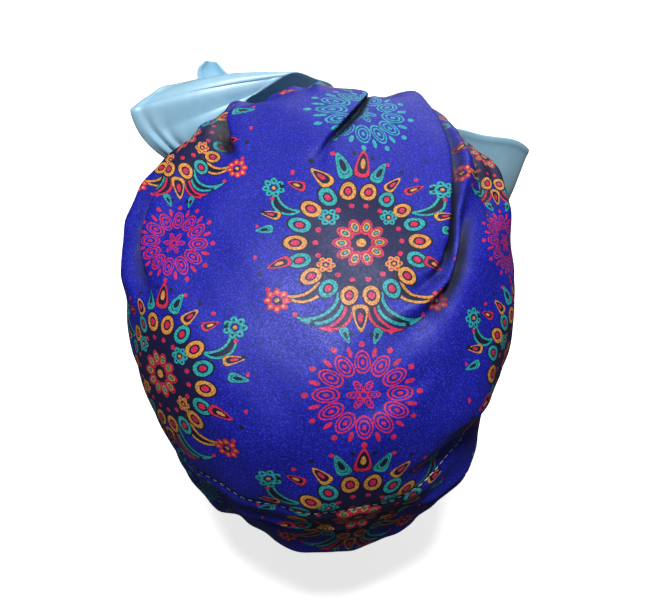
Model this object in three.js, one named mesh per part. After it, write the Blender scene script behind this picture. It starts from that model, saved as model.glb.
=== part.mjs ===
import * as THREE from 'three';

// Sizes in mm. Origin at the inside top of the crown, +Z up, front at -Y,
// +X is the right hand of someone who faces the front.

// Thickness of the cloth
const CROWN_WALL = 1.8;
const BAND_WALL = 2.4;
const SASH_WALL = 1.2;
// Gap kept between neighbouring pieces
const GAP = 0.3;
// Height of the crown's outer top above the rim
const CAP_HEIGHT = 149;
// Roundness of the plan: 2 is an ellipse, more is squarer
const PLAN_FRONT = 2.2;
const PLAN_BACK = 2.25;
// Columns round the cap, and how much closer they stand at the back
const COLUMNS = 96;
const BACK_CLOSER = 0.3;

// One object for each row, with the named columns
function table(names, rows) {
  return rows.map((row) => Object.fromEntries(names.map((name, i) => [name, row[i]])));
}

// Level sections of the crown: height above the rim, half width, reach to the
// front and to the back of the middle, the middle's shift to the back, and the
// way over the cloth from the top of the crown
const SECTION = ['rise', 'half', 'front', 'back', 'mid', 'way'];
const CROWN = table(SECTION, [
  [33, 84, 121, 83, 8, 203],
  [45, 90, 124, 94, 10, 190],
  [62, 95, 127, 103, 12, 172],
  [84, 98, 122, 106, 12, 150],
  [106, 93, 113, 104, 12, 126],
  [125, 79, 92, 92, 9, 98],
  [138, 56, 62, 70, 5, 65],
  [146, 29, 31, 38, 2, 31],
  [149, 0, 0, 0, 0, 0],
]);
const BAND = table(SECTION, [
  [0, 78, 112, 82, 2, 237],
  [17, 81, 116, 82, 5, 220],
  [33, 84, 121, 83, 8, 203],
]);
// Ways from the top at which the crown and the band have a ring of corners
const CROWN_RINGS = [
  203, 195, 185, 173, 160, 147, 134, 122, 111, 102, 94, 87, 80, 74, 68, 60, 50, 37, 20,
];
const BAND_RINGS = [237, 220, 203];

// Folds and gathers, each a path over the flat cloth, whose middle is the top
// of the crown: across to the right, along to the back, height of the cloth
// there (less than 0 is a dent), and how far it slopes off to the left and to
// the right of someone who walks the path
const STEP = ['across', 'along', 'high', 'left', 'right'];
const FOLDS = {
  centre_pleat: table(STEP, [
    [17, 240, 2.0, 12, 12],
    [20, 195, 3.5, 12, 12],
    [24, 150, 5.0, 9, 12],
    [24, 110, 6.5, 7, 14],
    [19, 70, 6.0, 7, 15],
    [8, 52, 4.5, 7, 15],
    [1, 36, 2.5, 7, 14],
    [-4, 20, 0.0, 7, 12],
  ]),
  centre_crease: table(STEP, [
    [34, 112, 0.0, 6, 6],
    [30, 74, -3.0, 7, 6],
    [20, 58, -3.5, 7, 6],
    [9, 36, -2.5, 7, 6],
    [3, 20, 0.0, 6, 6],
  ]),
  right_tube: table(STEP, [
    [46, 240, 2.0, 12, 12],
    [50, 195, 3.5, 12, 12],
    [56, 150, 5.0, 11, 11],
    [62, 115, 6.5, 10, 10],
    [68, 85, 7.0, 9, 9],
    [74, 55, 7.0, 9, 9],
    [77, 30, 7.0, 9, 9],
    [75, 0, 6.5, 9, 9],
    [70, -25, 5.5, 9, 9],
    [59, -44, 4.0, 9, 9],
    [40, -62, 2.0, 9, 9],
    [24, -72, 0.0, 9, 9],
  ]),
  right_tube_inner_crease: table(STEP, [
    [50, 120, 0.0, 9, 8],
    [55, 90, -3.0, 9, 8],
    [60, 62, -3.5, 10, 8],
    [63, 32, -3.5, 11, 8],
    [62, 2, -3.0, 11, 8],
    [55, -24, -2.0, 11, 8],
    [42, -44, 0.0, 10, 8],
  ]),
  right_tube_outer_crease: table(STEP, [
    [84, 100, 0.0, 8, 9],
    [87, 60, -4.0, 8, 9],
    [91, 25, -3.5, 8, 9],
    [89, -8, -3.0, 8, 9],
    [81, -38, -2.5, 8, 9],
    [64, -60, 0.0, 8, 9],
  ]),
  left_pocket: table(STEP, [
    [-62, 130, 0.0, 8, 10],
    [-54, 95, -5.5, 8, 11],
    [-47, 68, -6.5, 8, 11],
    [-43, 48, -3.5, 7, 9],
    [-42, 30, 0.0, 7, 9],
  ]),
  left_shoulder: table(STEP, [
    [-76, 228, 2.0, 12, 12],
    [-80, 185, 3.5, 12, 12],
    [-80, 145, 4.5, 10, 12],
    [-73, 108, 5.5, 8, 14],
    [-66, 82, 5.0, 8, 15],
    [-60, 58, 3.0, 8, 13],
    [-56, 34, 0.0, 8, 12],
  ]),
  left_roll: table(STEP, [
    [-116, 110, 0.0, 10, 10],
    [-132, 78, 2.5, 8, 10],
    [-138, 40, 4.0, 8, 10],
    [-134, 0, 4.5, 8, 10],
    [-126, -28, 3.5, 8, 10],
    [-112, -54, 0.0, 8, 10],
  ]),
  left_valley: table(STEP, [
    [-98, 92, 0.0, 8, 10],
    [-110, 62, -4.0, 8, 10],
    [-120, 38, -4.5, 8, 10],
    [-118, 0, -4.0, 8, 10],
    [-110, -26, -3.0, 8, 10],
    [-98, -46, 0.0, 8, 10],
  ]),
  right_valley: table(STEP, [
    [96, 96, 0.0, 8, 8],
    [102, 66, -5.0, 8, 7],
    [108, 38, -5.0, 8, 7],
    [111, 8, -3.0, 8, 8],
    [110, -18, 0.0, 8, 8],
  ]),
  right_roll: table(STEP, [
    [104, 110, 0.0, 10, 10],
    [118, 84, 4.0, 10, 9],
    [124, 56, 6.0, 10, 8],
    [128, 26, 5.0, 10, 8],
    [128, -2, 3.0, 10, 9],
    [124, -28, 0.0, 10, 10],
  ]),
  gather_far_left: table(STEP, [
    [-46, 236, 2.0, 12, 12],
    [-50, 195, 3.5, 12, 12],
    [-49, 150, 5.0, 11, 11],
    [-42, 110, 5.0, 10, 9],
    [-36, 82, 3.5, 10, 8],
    [-31, 60, 0.0, 9, 8],
  ]),
  gather_left: table(STEP, [
    [-16, 240, 2.0, 12, 12],
    [-18, 195, 3.5, 12, 12],
    [-17, 150, 5.0, 11, 11],
    [-15, 112, 5.5, 9, 10],
    [-13, 84, 4.0, 8, 10],
    [-9, 60, 0.0, 8, 9],
  ]),
  gather_right: table(STEP, [
    [78, 228, 2.0, 12, 12],
    [82, 185, 3.5, 12, 12],
    [86, 150, 4.5, 11, 11],
    [90, 118, 4.0, 10, 10],
    [92, 96, 0.0, 10, 10],
  ]),
  top_bump: table(STEP, [
    [30, 130, 0.0, 9, 9],
    [38, 104, 3.5, 10, 9],
    [38, 78, 3.5, 10, 8],
    [34, 58, 0.0, 9, 8],
  ]),
  brow_dent: table(STEP, [
    [58, -90, 0.0, 9, 9],
    [44, -100, -1.8, 9, 9],
    [24, -111, -1.5, 9, 9],
    [8, -116, 0.0, 9, 9],
  ]),
  right_overhang: table(STEP, [
    [150, -70, 0.0, 14, 18],
    [128, -94, -3.0, 14, 20],
    [92, -116, -4.5, 13, 20],
    [62, -132, -3.0, 13, 18],
    [40, -142, 0.0, 13, 16],
  ]),
  right_cheek: table(STEP, [
    [205, -90, 0.0, 30, 30],
    [182, -132, 4.5, 36, 34],
    [146, -170, 7.0, 38, 34],
    [106, -198, 4.5, 36, 32],
    [70, -218, 0.0, 30, 30],
  ]),
};

// Plain vector sums on [x, y, z]
const add = (a, b, k = 1) => [a[0] + k * b[0], a[1] + k * b[1], a[2] + k * b[2]];
const minus = (a, b) => add(a, b, -1);
const mix = (a, b, k) => add(a, minus(b, a), k);
const cross = (a, b) => [
  a[1] * b[2] - a[2] * b[1],
  a[2] * b[0] - a[0] * b[2],
  a[0] * b[1] - a[1] * b[0],
];
function unit(a) {
  const size = Math.hypot(...a) || 1;
  return a.map((v) => v / size);
}

// Smooth curve through four numbers, from the second to the third
function curve(a, b, c, d, k) {
  const bend = 2 * a - 5 * b + 4 * c - d;
  const turn = 3 * b - a - 3 * c + d;
  return 0.5 * (2 * b + (c - a) * k + bend * k * k + turn * k * k * k);
}

// Sizes of the section at a way over the cloth from the top
function sectionAt(rows, way) {
  const last = rows.length - 1;
  let i = 0;
  while (i < last - 1 && way < rows[i + 1].way) i += 1;
  const k = (rows[i].way - way) / (rows[i].way - rows[i + 1].way);
  const out = {};
  for (const name of ['rise', 'half', 'front', 'back', 'mid']) {
    const b = rows[i][name];
    const c = rows[i + 1][name];
    const a = i > 0 ? rows[i - 1][name] : 2 * b - c;
    let d = i < last - 1 ? rows[i + 2][name] : 2 * c - b;
    const closes = i === last - 1 && rows[last].half === 0;
    if (closes) d = name === 'rise' ? b : -b;
    out[name] = curve(a, b, c, d, k);
  }
  return out;
}

// Smooth cap without folds
function plainPoint(rows, turn, way) {
  const s = sectionAt(rows, way);
  const c = Math.cos(turn);
  const n = Math.sin(turn);
  const reach = Math.max(n > 0 ? s.back : s.front, 1e-6);
  const power = n > 0 ? PLAN_BACK : PLAN_FRONT;
  const side = (Math.abs(c) / Math.max(s.half, 1e-6)) ** power;
  const r = (side + (Math.abs(n) / reach) ** power) ** (-1 / power);
  return [r * c, s.mid + r * n, s.rise];
}

// Height of one fold at a place on the flat cloth
function foldHeight(path, across, along) {
  let best = Infinity;
  let high = 0;
  for (let i = 0; i < path.length - 1; i += 1) {
    const p = path[i];
    const q = path[i + 1];
    const dx = q.across - p.across;
    const dy = q.along - p.along;
    const ex = across - p.across;
    const ey = along - p.along;
    const k = Math.min(1, Math.max(0, (ex * dx + ey * dy) / (dx * dx + dy * dy)));
    const gap = Math.hypot(ex - k * dx, ey - k * dy);
    if (gap < best) {
      best = gap;
      const hand = dx * ey - dy * ex > 0 ? 'left' : 'right';
      const reach = p[hand] + k * (q[hand] - p[hand]);
      const ease = k * k * (3 - 2 * k);
      high = (p.high + ease * (q.high - p.high)) * Math.exp(-((gap / reach) ** 2));
    }
  }
  return high;
}

// Outside of the cap, folds and all
function outside(rows, turn, way) {
  const d = 0.002;
  const from = Math.max(way, 3);
  const here = plainPoint(rows, turn, way);
  const round = minus(plainPoint(rows, turn + d, from), plainPoint(rows, turn - d, from));
  const up = minus(plainPoint(rows, turn, from - 1), plainPoint(rows, turn, from + 1));
  const out = unit(cross(round, up));
  const across = way * Math.cos(turn);
  const along = way * Math.sin(turn);
  let high = 0;
  for (const path of Object.values(FOLDS)) high += foldHeight(path, across, along);
  return add(here, out, high);
}

// Turn of a column round the cap, with the columns closer at the back
function turnOf(i) {
  const even = (2 * Math.PI * i) / COLUMNS;
  return even + BACK_CLOSER * Math.cos(even);
}

// Corners numbered once, faces as triangles, all in one closed body
class Body {
  constructor() {
    this.points = [];
    this.faces = [];
  }

  corner(p) {
    this.points.push(p[0], p[1], p[2]);
    return this.points.length / 3 - 1;
  }

  quad(a, b, c, d) {
    this.faces.push(a, b, c, a, c, d);
  }

  geometry() {
    const geometry = new THREE.BufferGeometry();
    geometry.setAttribute('position', new THREE.Float32BufferAttribute(this.points, 3));
    geometry.setIndex(this.faces);
    geometry.computeVertexNormals();
    return geometry;
  }
}

// Rings of the cap's cloth, its outside or its inside, each a list of corners
function capRings(rows, ways, wall, drop) {
  const rings = [];
  for (const way of ways) {
    const ring = [];
    for (let i = 0; i < COLUMNS; i += 1) {
      const turn = turnOf(i);
      let p = outside(rows, turn, way);
      if (wall > 0) {
        const d = 0.05;
        const round = minus(outside(rows, turn + d, way), outside(rows, turn - d, way));
        const up = minus(outside(rows, turn, way - 5), outside(rows, turn, way + 5));
        p = add(p, unit(cross(round, up)), -wall);
      }
      ring.push([p[0], p[1], p[2] - CAP_HEIGHT + CROWN_WALL + drop]);
    }
    rings.push(ring);
  }
  return rings;
}

// Closes an outside and an inside set of rings into one hollow wall
function hollowWall(outer, inner, closedTop) {
  const body = new Body();
  const numbered = (rings) => rings.map((ring) => ring.map((p) => body.corner(p)));
  const out = numbered(outer);
  const inn = numbered(inner);
  const top = out.length - 1;
  for (let i = 0; i < COLUMNS; i += 1) {
    const j = (i + 1) % COLUMNS;
    for (let k = 0; k < top; k += 1) {
      body.quad(out[k][i], out[k][j], out[k + 1][j], out[k + 1][i]);
      body.quad(inn[k][j], inn[k][i], inn[k + 1][i], inn[k + 1][j]);
    }
    body.quad(inn[0][i], inn[0][j], out[0][j], out[0][i]);
    if (!closedTop) body.quad(out[top][i], out[top][j], inn[top][j], inn[top][i]);
  }
  if (closedTop) {
    const outPole = body.corner([0, 0, CROWN_WALL]);
    const innPole = body.corner([0, 0, 0]);
    for (let i = 0; i < COLUMNS; i += 1) {
      const j = (i + 1) % COLUMNS;
      body.faces.push(out[top][i], out[top][j], outPole);
      body.faces.push(inn[top][j], inn[top][i], innPole);
    }
  }
  return body.geometry();
}

// Level lower and upper edges of the band, so the gap to the crown stays even
function levelled(rings, index, z) {
  return rings.map((ring, k) => (k === index ? ring.map((p) => [p[0], p[1], z]) : ring));
}

function crownGeometry() {
  const edge = 33 - CAP_HEIGHT + CROWN_WALL;
  const outer = levelled(capRings(CROWN, CROWN_RINGS, 0, 0), 0, edge);
  const inner = levelled(capRings(CROWN, CROWN_RINGS, CROWN_WALL, 0), 0, edge);
  return hollowWall(outer, inner, true);
}

function bandGeometry() {
  const low = CROWN_WALL - CAP_HEIGHT;
  const high = 33 - CAP_HEIGHT + CROWN_WALL - GAP;
  const last = BAND_RINGS.length - 1;
  let outer = levelled(capRings(BAND, BAND_RINGS, 0, 0), 0, low);
  let inner = levelled(capRings(BAND, BAND_RINGS, BAND_WALL, 0), 0, low);
  outer = levelled(outer, last, high);
  inner = levelled(inner, last, high);
  return hollowWall(outer, inner, false);
}

// Knot: middle and half sizes, with its height counted from the rim
const KNOT = { y: 103, z: 15, wide: 11, deep: 9, tall: 12, power: 3.4 };
const KNOT_RINGS = 8;
const KNOT_COLUMNS = 16;
// Rows along a strip of the sash for each station, and columns across it
const STRIP_STEPS = 3;
const STRIP_COLUMNS = 6;

// Where a strip leaves the side of the knot, on the left (-1) or right (1)
function knotSide(side, y, z) {
  const off = Math.max(0, Math.abs(y - KNOT.y) - SASH_WALL / 2);
  const deep = (off / KNOT.deep) ** KNOT.power;
  const x = KNOT.wide * Math.max(0, 1 - deep) ** (1 / KNOT.power);
  return [side * (x + GAP + 0.15), y, z];
}

// Where a strip leaves the back of the knot
function knotBack(x, z) {
  return [x, KNOT.y + KNOT.deep + GAP + 0.15, z];
}

// Strips of the sash. Each station holds one point on each edge of the strip,
// with heights counted from the rim, and how far the middle swells out
const STATION = ['a', 'b', 'belly'];
const LEFT_LOOP = table(STATION, [
  [knotSide(-1, 100, 11), knotSide(-1, 100, 21), 0],
  [[-42, 106, 24], [-23, 117, 47], 3],
  [[-76, 110, 41], [-34, 124, 69], 5],
  [[-94, 112, 57], [-43, 127, 84], 5],
  [[-103, 118, 71], [-35, 132, 88], 4],
  [[-108, 125, 79], [-26, 136, 92], 3],
  [[-102, 133, 82], [-17, 140, 95], 2],
  [[-91, 142, 79], [-4, 147, 87], 2],
  [[-84, 149, 66], [8, 152, 75], 4],
  [[-66, 147, 46], [6, 146, 52], 5],
  [[-36, 132, 26], [-2, 129, 32], 3],
  [knotSide(-1, 107, 11), knotSide(-1, 107, 20), 0],
]);
const RIGHT_LOOP = table(STATION, [
  [knotSide(1, 100, 21), knotSide(1, 100, 9), 0],
  [[32, 114, 44], [30, 101, -4], -3],
  [[54, 118, 65], [56, 106, -9], -5],
  [[75, 120, 74], [78, 110, -10], -5],
  [[96, 123, 63], [94, 114, -13], -5],
  [[117, 128, 53], [107, 119, -16], -4],
  [[128, 134, 38], [115, 126, -16], -2],
  [[119, 142, 47], [106, 134, -17], -3],
  [[88, 143, 55], [84, 133, -13], -5],
  [[48, 130, 42], [44, 122, -4], -3],
  [knotSide(1, 107, 20), knotSide(1, 107, 10), 0],
]);
const LEFT_TAIL = table(STATION, [
  [knotBack(-7, 15), knotBack(4, 18), 0],
  [[-28, 133, 12], [-8, 134, 20], -2],
  [[-54, 152, 33], [-24, 152, 44], -3],
  [[-68, 160, 54], [-34, 161, 58], -3],
  [[-74, 160, 73], [-38, 163, 67], -2],
  [[-72, 159, 88], [-41, 163, 71], -1],
]);
const RIGHT_TAIL = table(STATION, [
  [knotBack(-5, 7), knotBack(6, 7), 0],
  [[-8, 121, -10], [24, 121, -8], -2],
  [[-2, 123, -36], [45, 123, -34], -4],
  [[6, 122, -62], [58, 123, -56], -4],
  [[12, 120, -88], [64, 121, -72], -3],
]);
// Leads from the band to the knot: turn round the cap where each starts
const LEAD_TURN = 0.4;
const LEAD_WAYS = [213, 229];

function leadStations(side) {
  const start = LEAD_WAYS.map((way) => {
    const turn = Math.PI / 2 - side * LEAD_TURN;
    const here = outside(BAND, turn, way);
    const flat = unit([Math.cos(turn), Math.sin(turn), 0]);
    return add(here, flat, GAP + 0.8 * SASH_WALL);
  });
  const half = start.map((p) => add(mix(p, [side * 11, 97, p[2]], 0.45), [0, 2.5, 0]));
  return table(STATION, [
    [start[0], start[1], 0],
    [half[0], half[1], 0.5],
    [knotSide(side, 97, 20), knotSide(side, 97, 10), 0],
  ]);
}

// Middle surface of a strip as rows of points
function stripRows(stations) {
  const rows = [];
  const last = stations.length - 1;
  const steps = last * STRIP_STEPS;
  const around = (name, i, axis) => {
    if (i < 0) return 2 * stations[0][name][axis] - stations[1][name][axis];
    if (i > last) return 2 * stations[last][name][axis] - stations[last - 1][name][axis];
    return stations[i][name][axis];
  };
  for (let s = 0; s <= steps; s += 1) {
    const i = Math.min(last - 1, Math.floor(s / STRIP_STEPS));
    const k = s / STRIP_STEPS - i;
    const edge = (name) => [0, 1, 2].map((axis) => curve(
      around(name, i - 1, axis),
      around(name, i, axis),
      around(name, i + 1, axis),
      around(name, i + 2, axis),
      k,
    ));
    const belly = stations[i].belly + k * (stations[i + 1].belly - stations[i].belly);
    rows.push({ a: edge('a'), b: edge('b'), belly });
  }
  return rows.map((row, s) => {
    const before = rows[Math.max(0, s - 1)];
    const after = rows[Math.min(steps, s + 1)];
    const ahead = minus(mix(after.a, after.b, 0.5), mix(before.a, before.b, 0.5));
    const out = unit(cross(minus(row.b, row.a), ahead));
    const line = [];
    for (let c = 0; c <= STRIP_COLUMNS; c += 1) {
      const w = c / STRIP_COLUMNS;
      line.push(add(mix(row.a, row.b, w), out, row.belly * Math.sin(Math.PI * w)));
    }
    return line;
  });
}

// Gives a strip its thickness and closes it
function stripGeometry(stations) {
  const rows = stripRows(stations);
  const last = rows.length - 1;
  const body = new Body();
  const drop = CROWN_WALL - CAP_HEIGHT;
  const faceOf = (side) => rows.map((line, s) => line.map((p, c) => {
    const before = rows[Math.max(0, s - 1)][c];
    const after = rows[Math.min(last, s + 1)][c];
    const one = line[Math.max(0, c - 1)];
    const two = line[Math.min(STRIP_COLUMNS, c + 1)];
    const out = unit(cross(minus(two, one), minus(after, before)));
    const q = add(p, out, (side * SASH_WALL) / 2);
    return body.corner([q[0], q[1], q[2] + drop]);
  }));
  const top = faceOf(1);
  const under = faceOf(-1);
  for (let s = 0; s < last; s += 1) {
    for (let c = 0; c < STRIP_COLUMNS; c += 1) {
      body.quad(top[s][c], top[s][c + 1], top[s + 1][c + 1], top[s + 1][c]);
      body.quad(under[s][c + 1], under[s][c], under[s + 1][c], under[s + 1][c + 1]);
    }
    const e = STRIP_COLUMNS;
    body.quad(under[s][0], top[s][0], top[s + 1][0], under[s + 1][0]);
    body.quad(top[s][e], under[s][e], under[s + 1][e], top[s + 1][e]);
  }
  for (let c = 0; c < STRIP_COLUMNS; c += 1) {
    body.quad(under[0][c], under[0][c + 1], top[0][c + 1], top[0][c]);
    body.quad(top[last][c], top[last][c + 1], under[last][c + 1], under[last][c]);
  }
  return body.geometry();
}

// Wrapped knot, a rounded block made of rings round the X axis
function knotGeometry() {
  const body = new Body();
  const drop = CROWN_WALL - CAP_HEIGHT;
  const rings = [];
  const power = 2 / KNOT.power;
  const bend = (v) => Math.sign(v) * Math.abs(v) ** power;
  for (let k = 1; k < KNOT_RINGS; k += 1) {
    const tilt = Math.PI * (k / KNOT_RINGS - 0.5);
    const ring = [];
    for (let i = 0; i < KNOT_COLUMNS; i += 1) {
      const turn = (2 * Math.PI * i) / KNOT_COLUMNS;
      const x = KNOT.wide * bend(Math.sin(tilt));
      const y = KNOT.y + KNOT.deep * bend(Math.cos(tilt)) * bend(Math.cos(turn));
      const z = KNOT.z + KNOT.tall * bend(Math.cos(tilt)) * bend(Math.sin(turn));
      ring.push(body.corner([x, y, z + drop]));
    }
    rings.push(ring);
  }
  const left = body.corner([-KNOT.wide, KNOT.y, KNOT.z + drop]);
  const right = body.corner([KNOT.wide, KNOT.y, KNOT.z + drop]);
  const end = rings.length - 1;
  for (let i = 0; i < KNOT_COLUMNS; i += 1) {
    const j = (i + 1) % KNOT_COLUMNS;
    for (let k = 0; k < end; k += 1) {
      body.quad(rings[k][i], rings[k][j], rings[k + 1][j], rings[k + 1][i]);
    }
    body.faces.push(rings[0][j], rings[0][i], left);
    body.faces.push(rings[end][i], rings[end][j], right);
  }
  return body.geometry();
}

const CAP_CLOTH = { color: 0x2b3fb4, roughness: 0.5, metalness: 0 };
const SASH_CLOTH = { color: 0x9cc9e2, roughness: 0.3, metalness: 0 };

const group = new THREE.Group();
group.name = 'scrub_cap';

function piece(name, geometry, looks) {
  const mesh = new THREE.Mesh(geometry, new THREE.MeshStandardMaterial(looks));
  mesh.name = name;
  group.add(mesh);
}

piece('crown', crownGeometry(), CAP_CLOTH);
piece('band', bandGeometry(), CAP_CLOTH);
piece('sash_lead_left', stripGeometry(leadStations(-1)), SASH_CLOTH);
piece('sash_lead_right', stripGeometry(leadStations(1)), SASH_CLOTH);
piece('sash_knot', knotGeometry(), SASH_CLOTH);
piece('sash_loop_left', stripGeometry(LEFT_LOOP), SASH_CLOTH);
piece('sash_loop_right', stripGeometry(RIGHT_LOOP), SASH_CLOTH);
piece('sash_tail_left', stripGeometry(LEFT_TAIL), SASH_CLOTH);
piece('sash_tail_right', stripGeometry(RIGHT_TAIL), SASH_CLOTH);

export default group;
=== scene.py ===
import math

import bpy
import numpy as np
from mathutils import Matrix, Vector


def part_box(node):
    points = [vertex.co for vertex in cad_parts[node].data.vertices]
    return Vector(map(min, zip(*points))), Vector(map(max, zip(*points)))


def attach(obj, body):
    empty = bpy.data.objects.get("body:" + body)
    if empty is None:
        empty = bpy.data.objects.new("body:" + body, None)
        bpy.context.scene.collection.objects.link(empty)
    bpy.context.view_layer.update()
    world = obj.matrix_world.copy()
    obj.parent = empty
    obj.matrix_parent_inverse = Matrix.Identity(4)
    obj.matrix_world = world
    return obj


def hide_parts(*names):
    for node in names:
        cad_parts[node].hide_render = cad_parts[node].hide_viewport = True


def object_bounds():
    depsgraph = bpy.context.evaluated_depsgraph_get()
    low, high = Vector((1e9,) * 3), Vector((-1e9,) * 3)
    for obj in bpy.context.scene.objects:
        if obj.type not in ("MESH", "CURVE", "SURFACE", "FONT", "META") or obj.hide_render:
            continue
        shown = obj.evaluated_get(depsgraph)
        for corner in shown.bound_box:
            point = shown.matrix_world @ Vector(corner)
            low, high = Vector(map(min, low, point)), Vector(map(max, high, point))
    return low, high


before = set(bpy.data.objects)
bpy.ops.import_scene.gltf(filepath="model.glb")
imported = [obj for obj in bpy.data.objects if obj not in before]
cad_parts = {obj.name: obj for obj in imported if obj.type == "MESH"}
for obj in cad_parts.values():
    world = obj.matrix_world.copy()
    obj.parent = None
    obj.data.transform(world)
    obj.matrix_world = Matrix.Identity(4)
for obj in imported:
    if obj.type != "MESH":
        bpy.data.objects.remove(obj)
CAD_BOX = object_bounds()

bl_info = {
    "name": "Scrub cap with a satin sash",
    "version": (1, 0, 0),
    "blender": (4, 5, 0),
    "location": "View3D > Sidebar > Scrub cap",
    "description": "Sews a gathered scrub cap with a printed crown, a band and a sash tied in a bow",
    "category": "Add Mesh",
}

MM = 0.001

# Height of the rim in mm, and how square the plan of the cap is in front and at
# the back, as its solids have them
RIM_Z = round(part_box("band")[0][2] / MM, 1)
PLAN_FRONT = 2.2
PLAN_BACK = 2.25
# How far the columns of corners crowd together at the back
BACK_CLOSER = 0.3

# Level sections: height above the rim, half width, reach to the front and to
# the back of the middle, the middle's shift to the back, and the way over the
# cloth from the top of the crown, in mm
SECTION = ("rise", "half", "front", "back", "mid", "way")
CROWN = (
    (33, 84, 121, 83, 8, 203),
    (45, 90, 124, 94, 10, 190),
    (62, 95, 127, 103, 12, 172),
    (84, 98, 122, 106, 12, 150),
    (106, 93, 113, 104, 12, 126),
    (125, 79, 92, 92, 9, 98),
    (138, 56, 62, 70, 5, 65),
    (146, 29, 31, 38, 2, 31),
    (149, 0, 0, 0, 0, 0),
)
BAND = (
    (0, 78, 112, 82, 2, 237),
    (17, 81, 116, 82, 5, 220),
    (33, 84, 121, 83, 8, 203),
)

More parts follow.
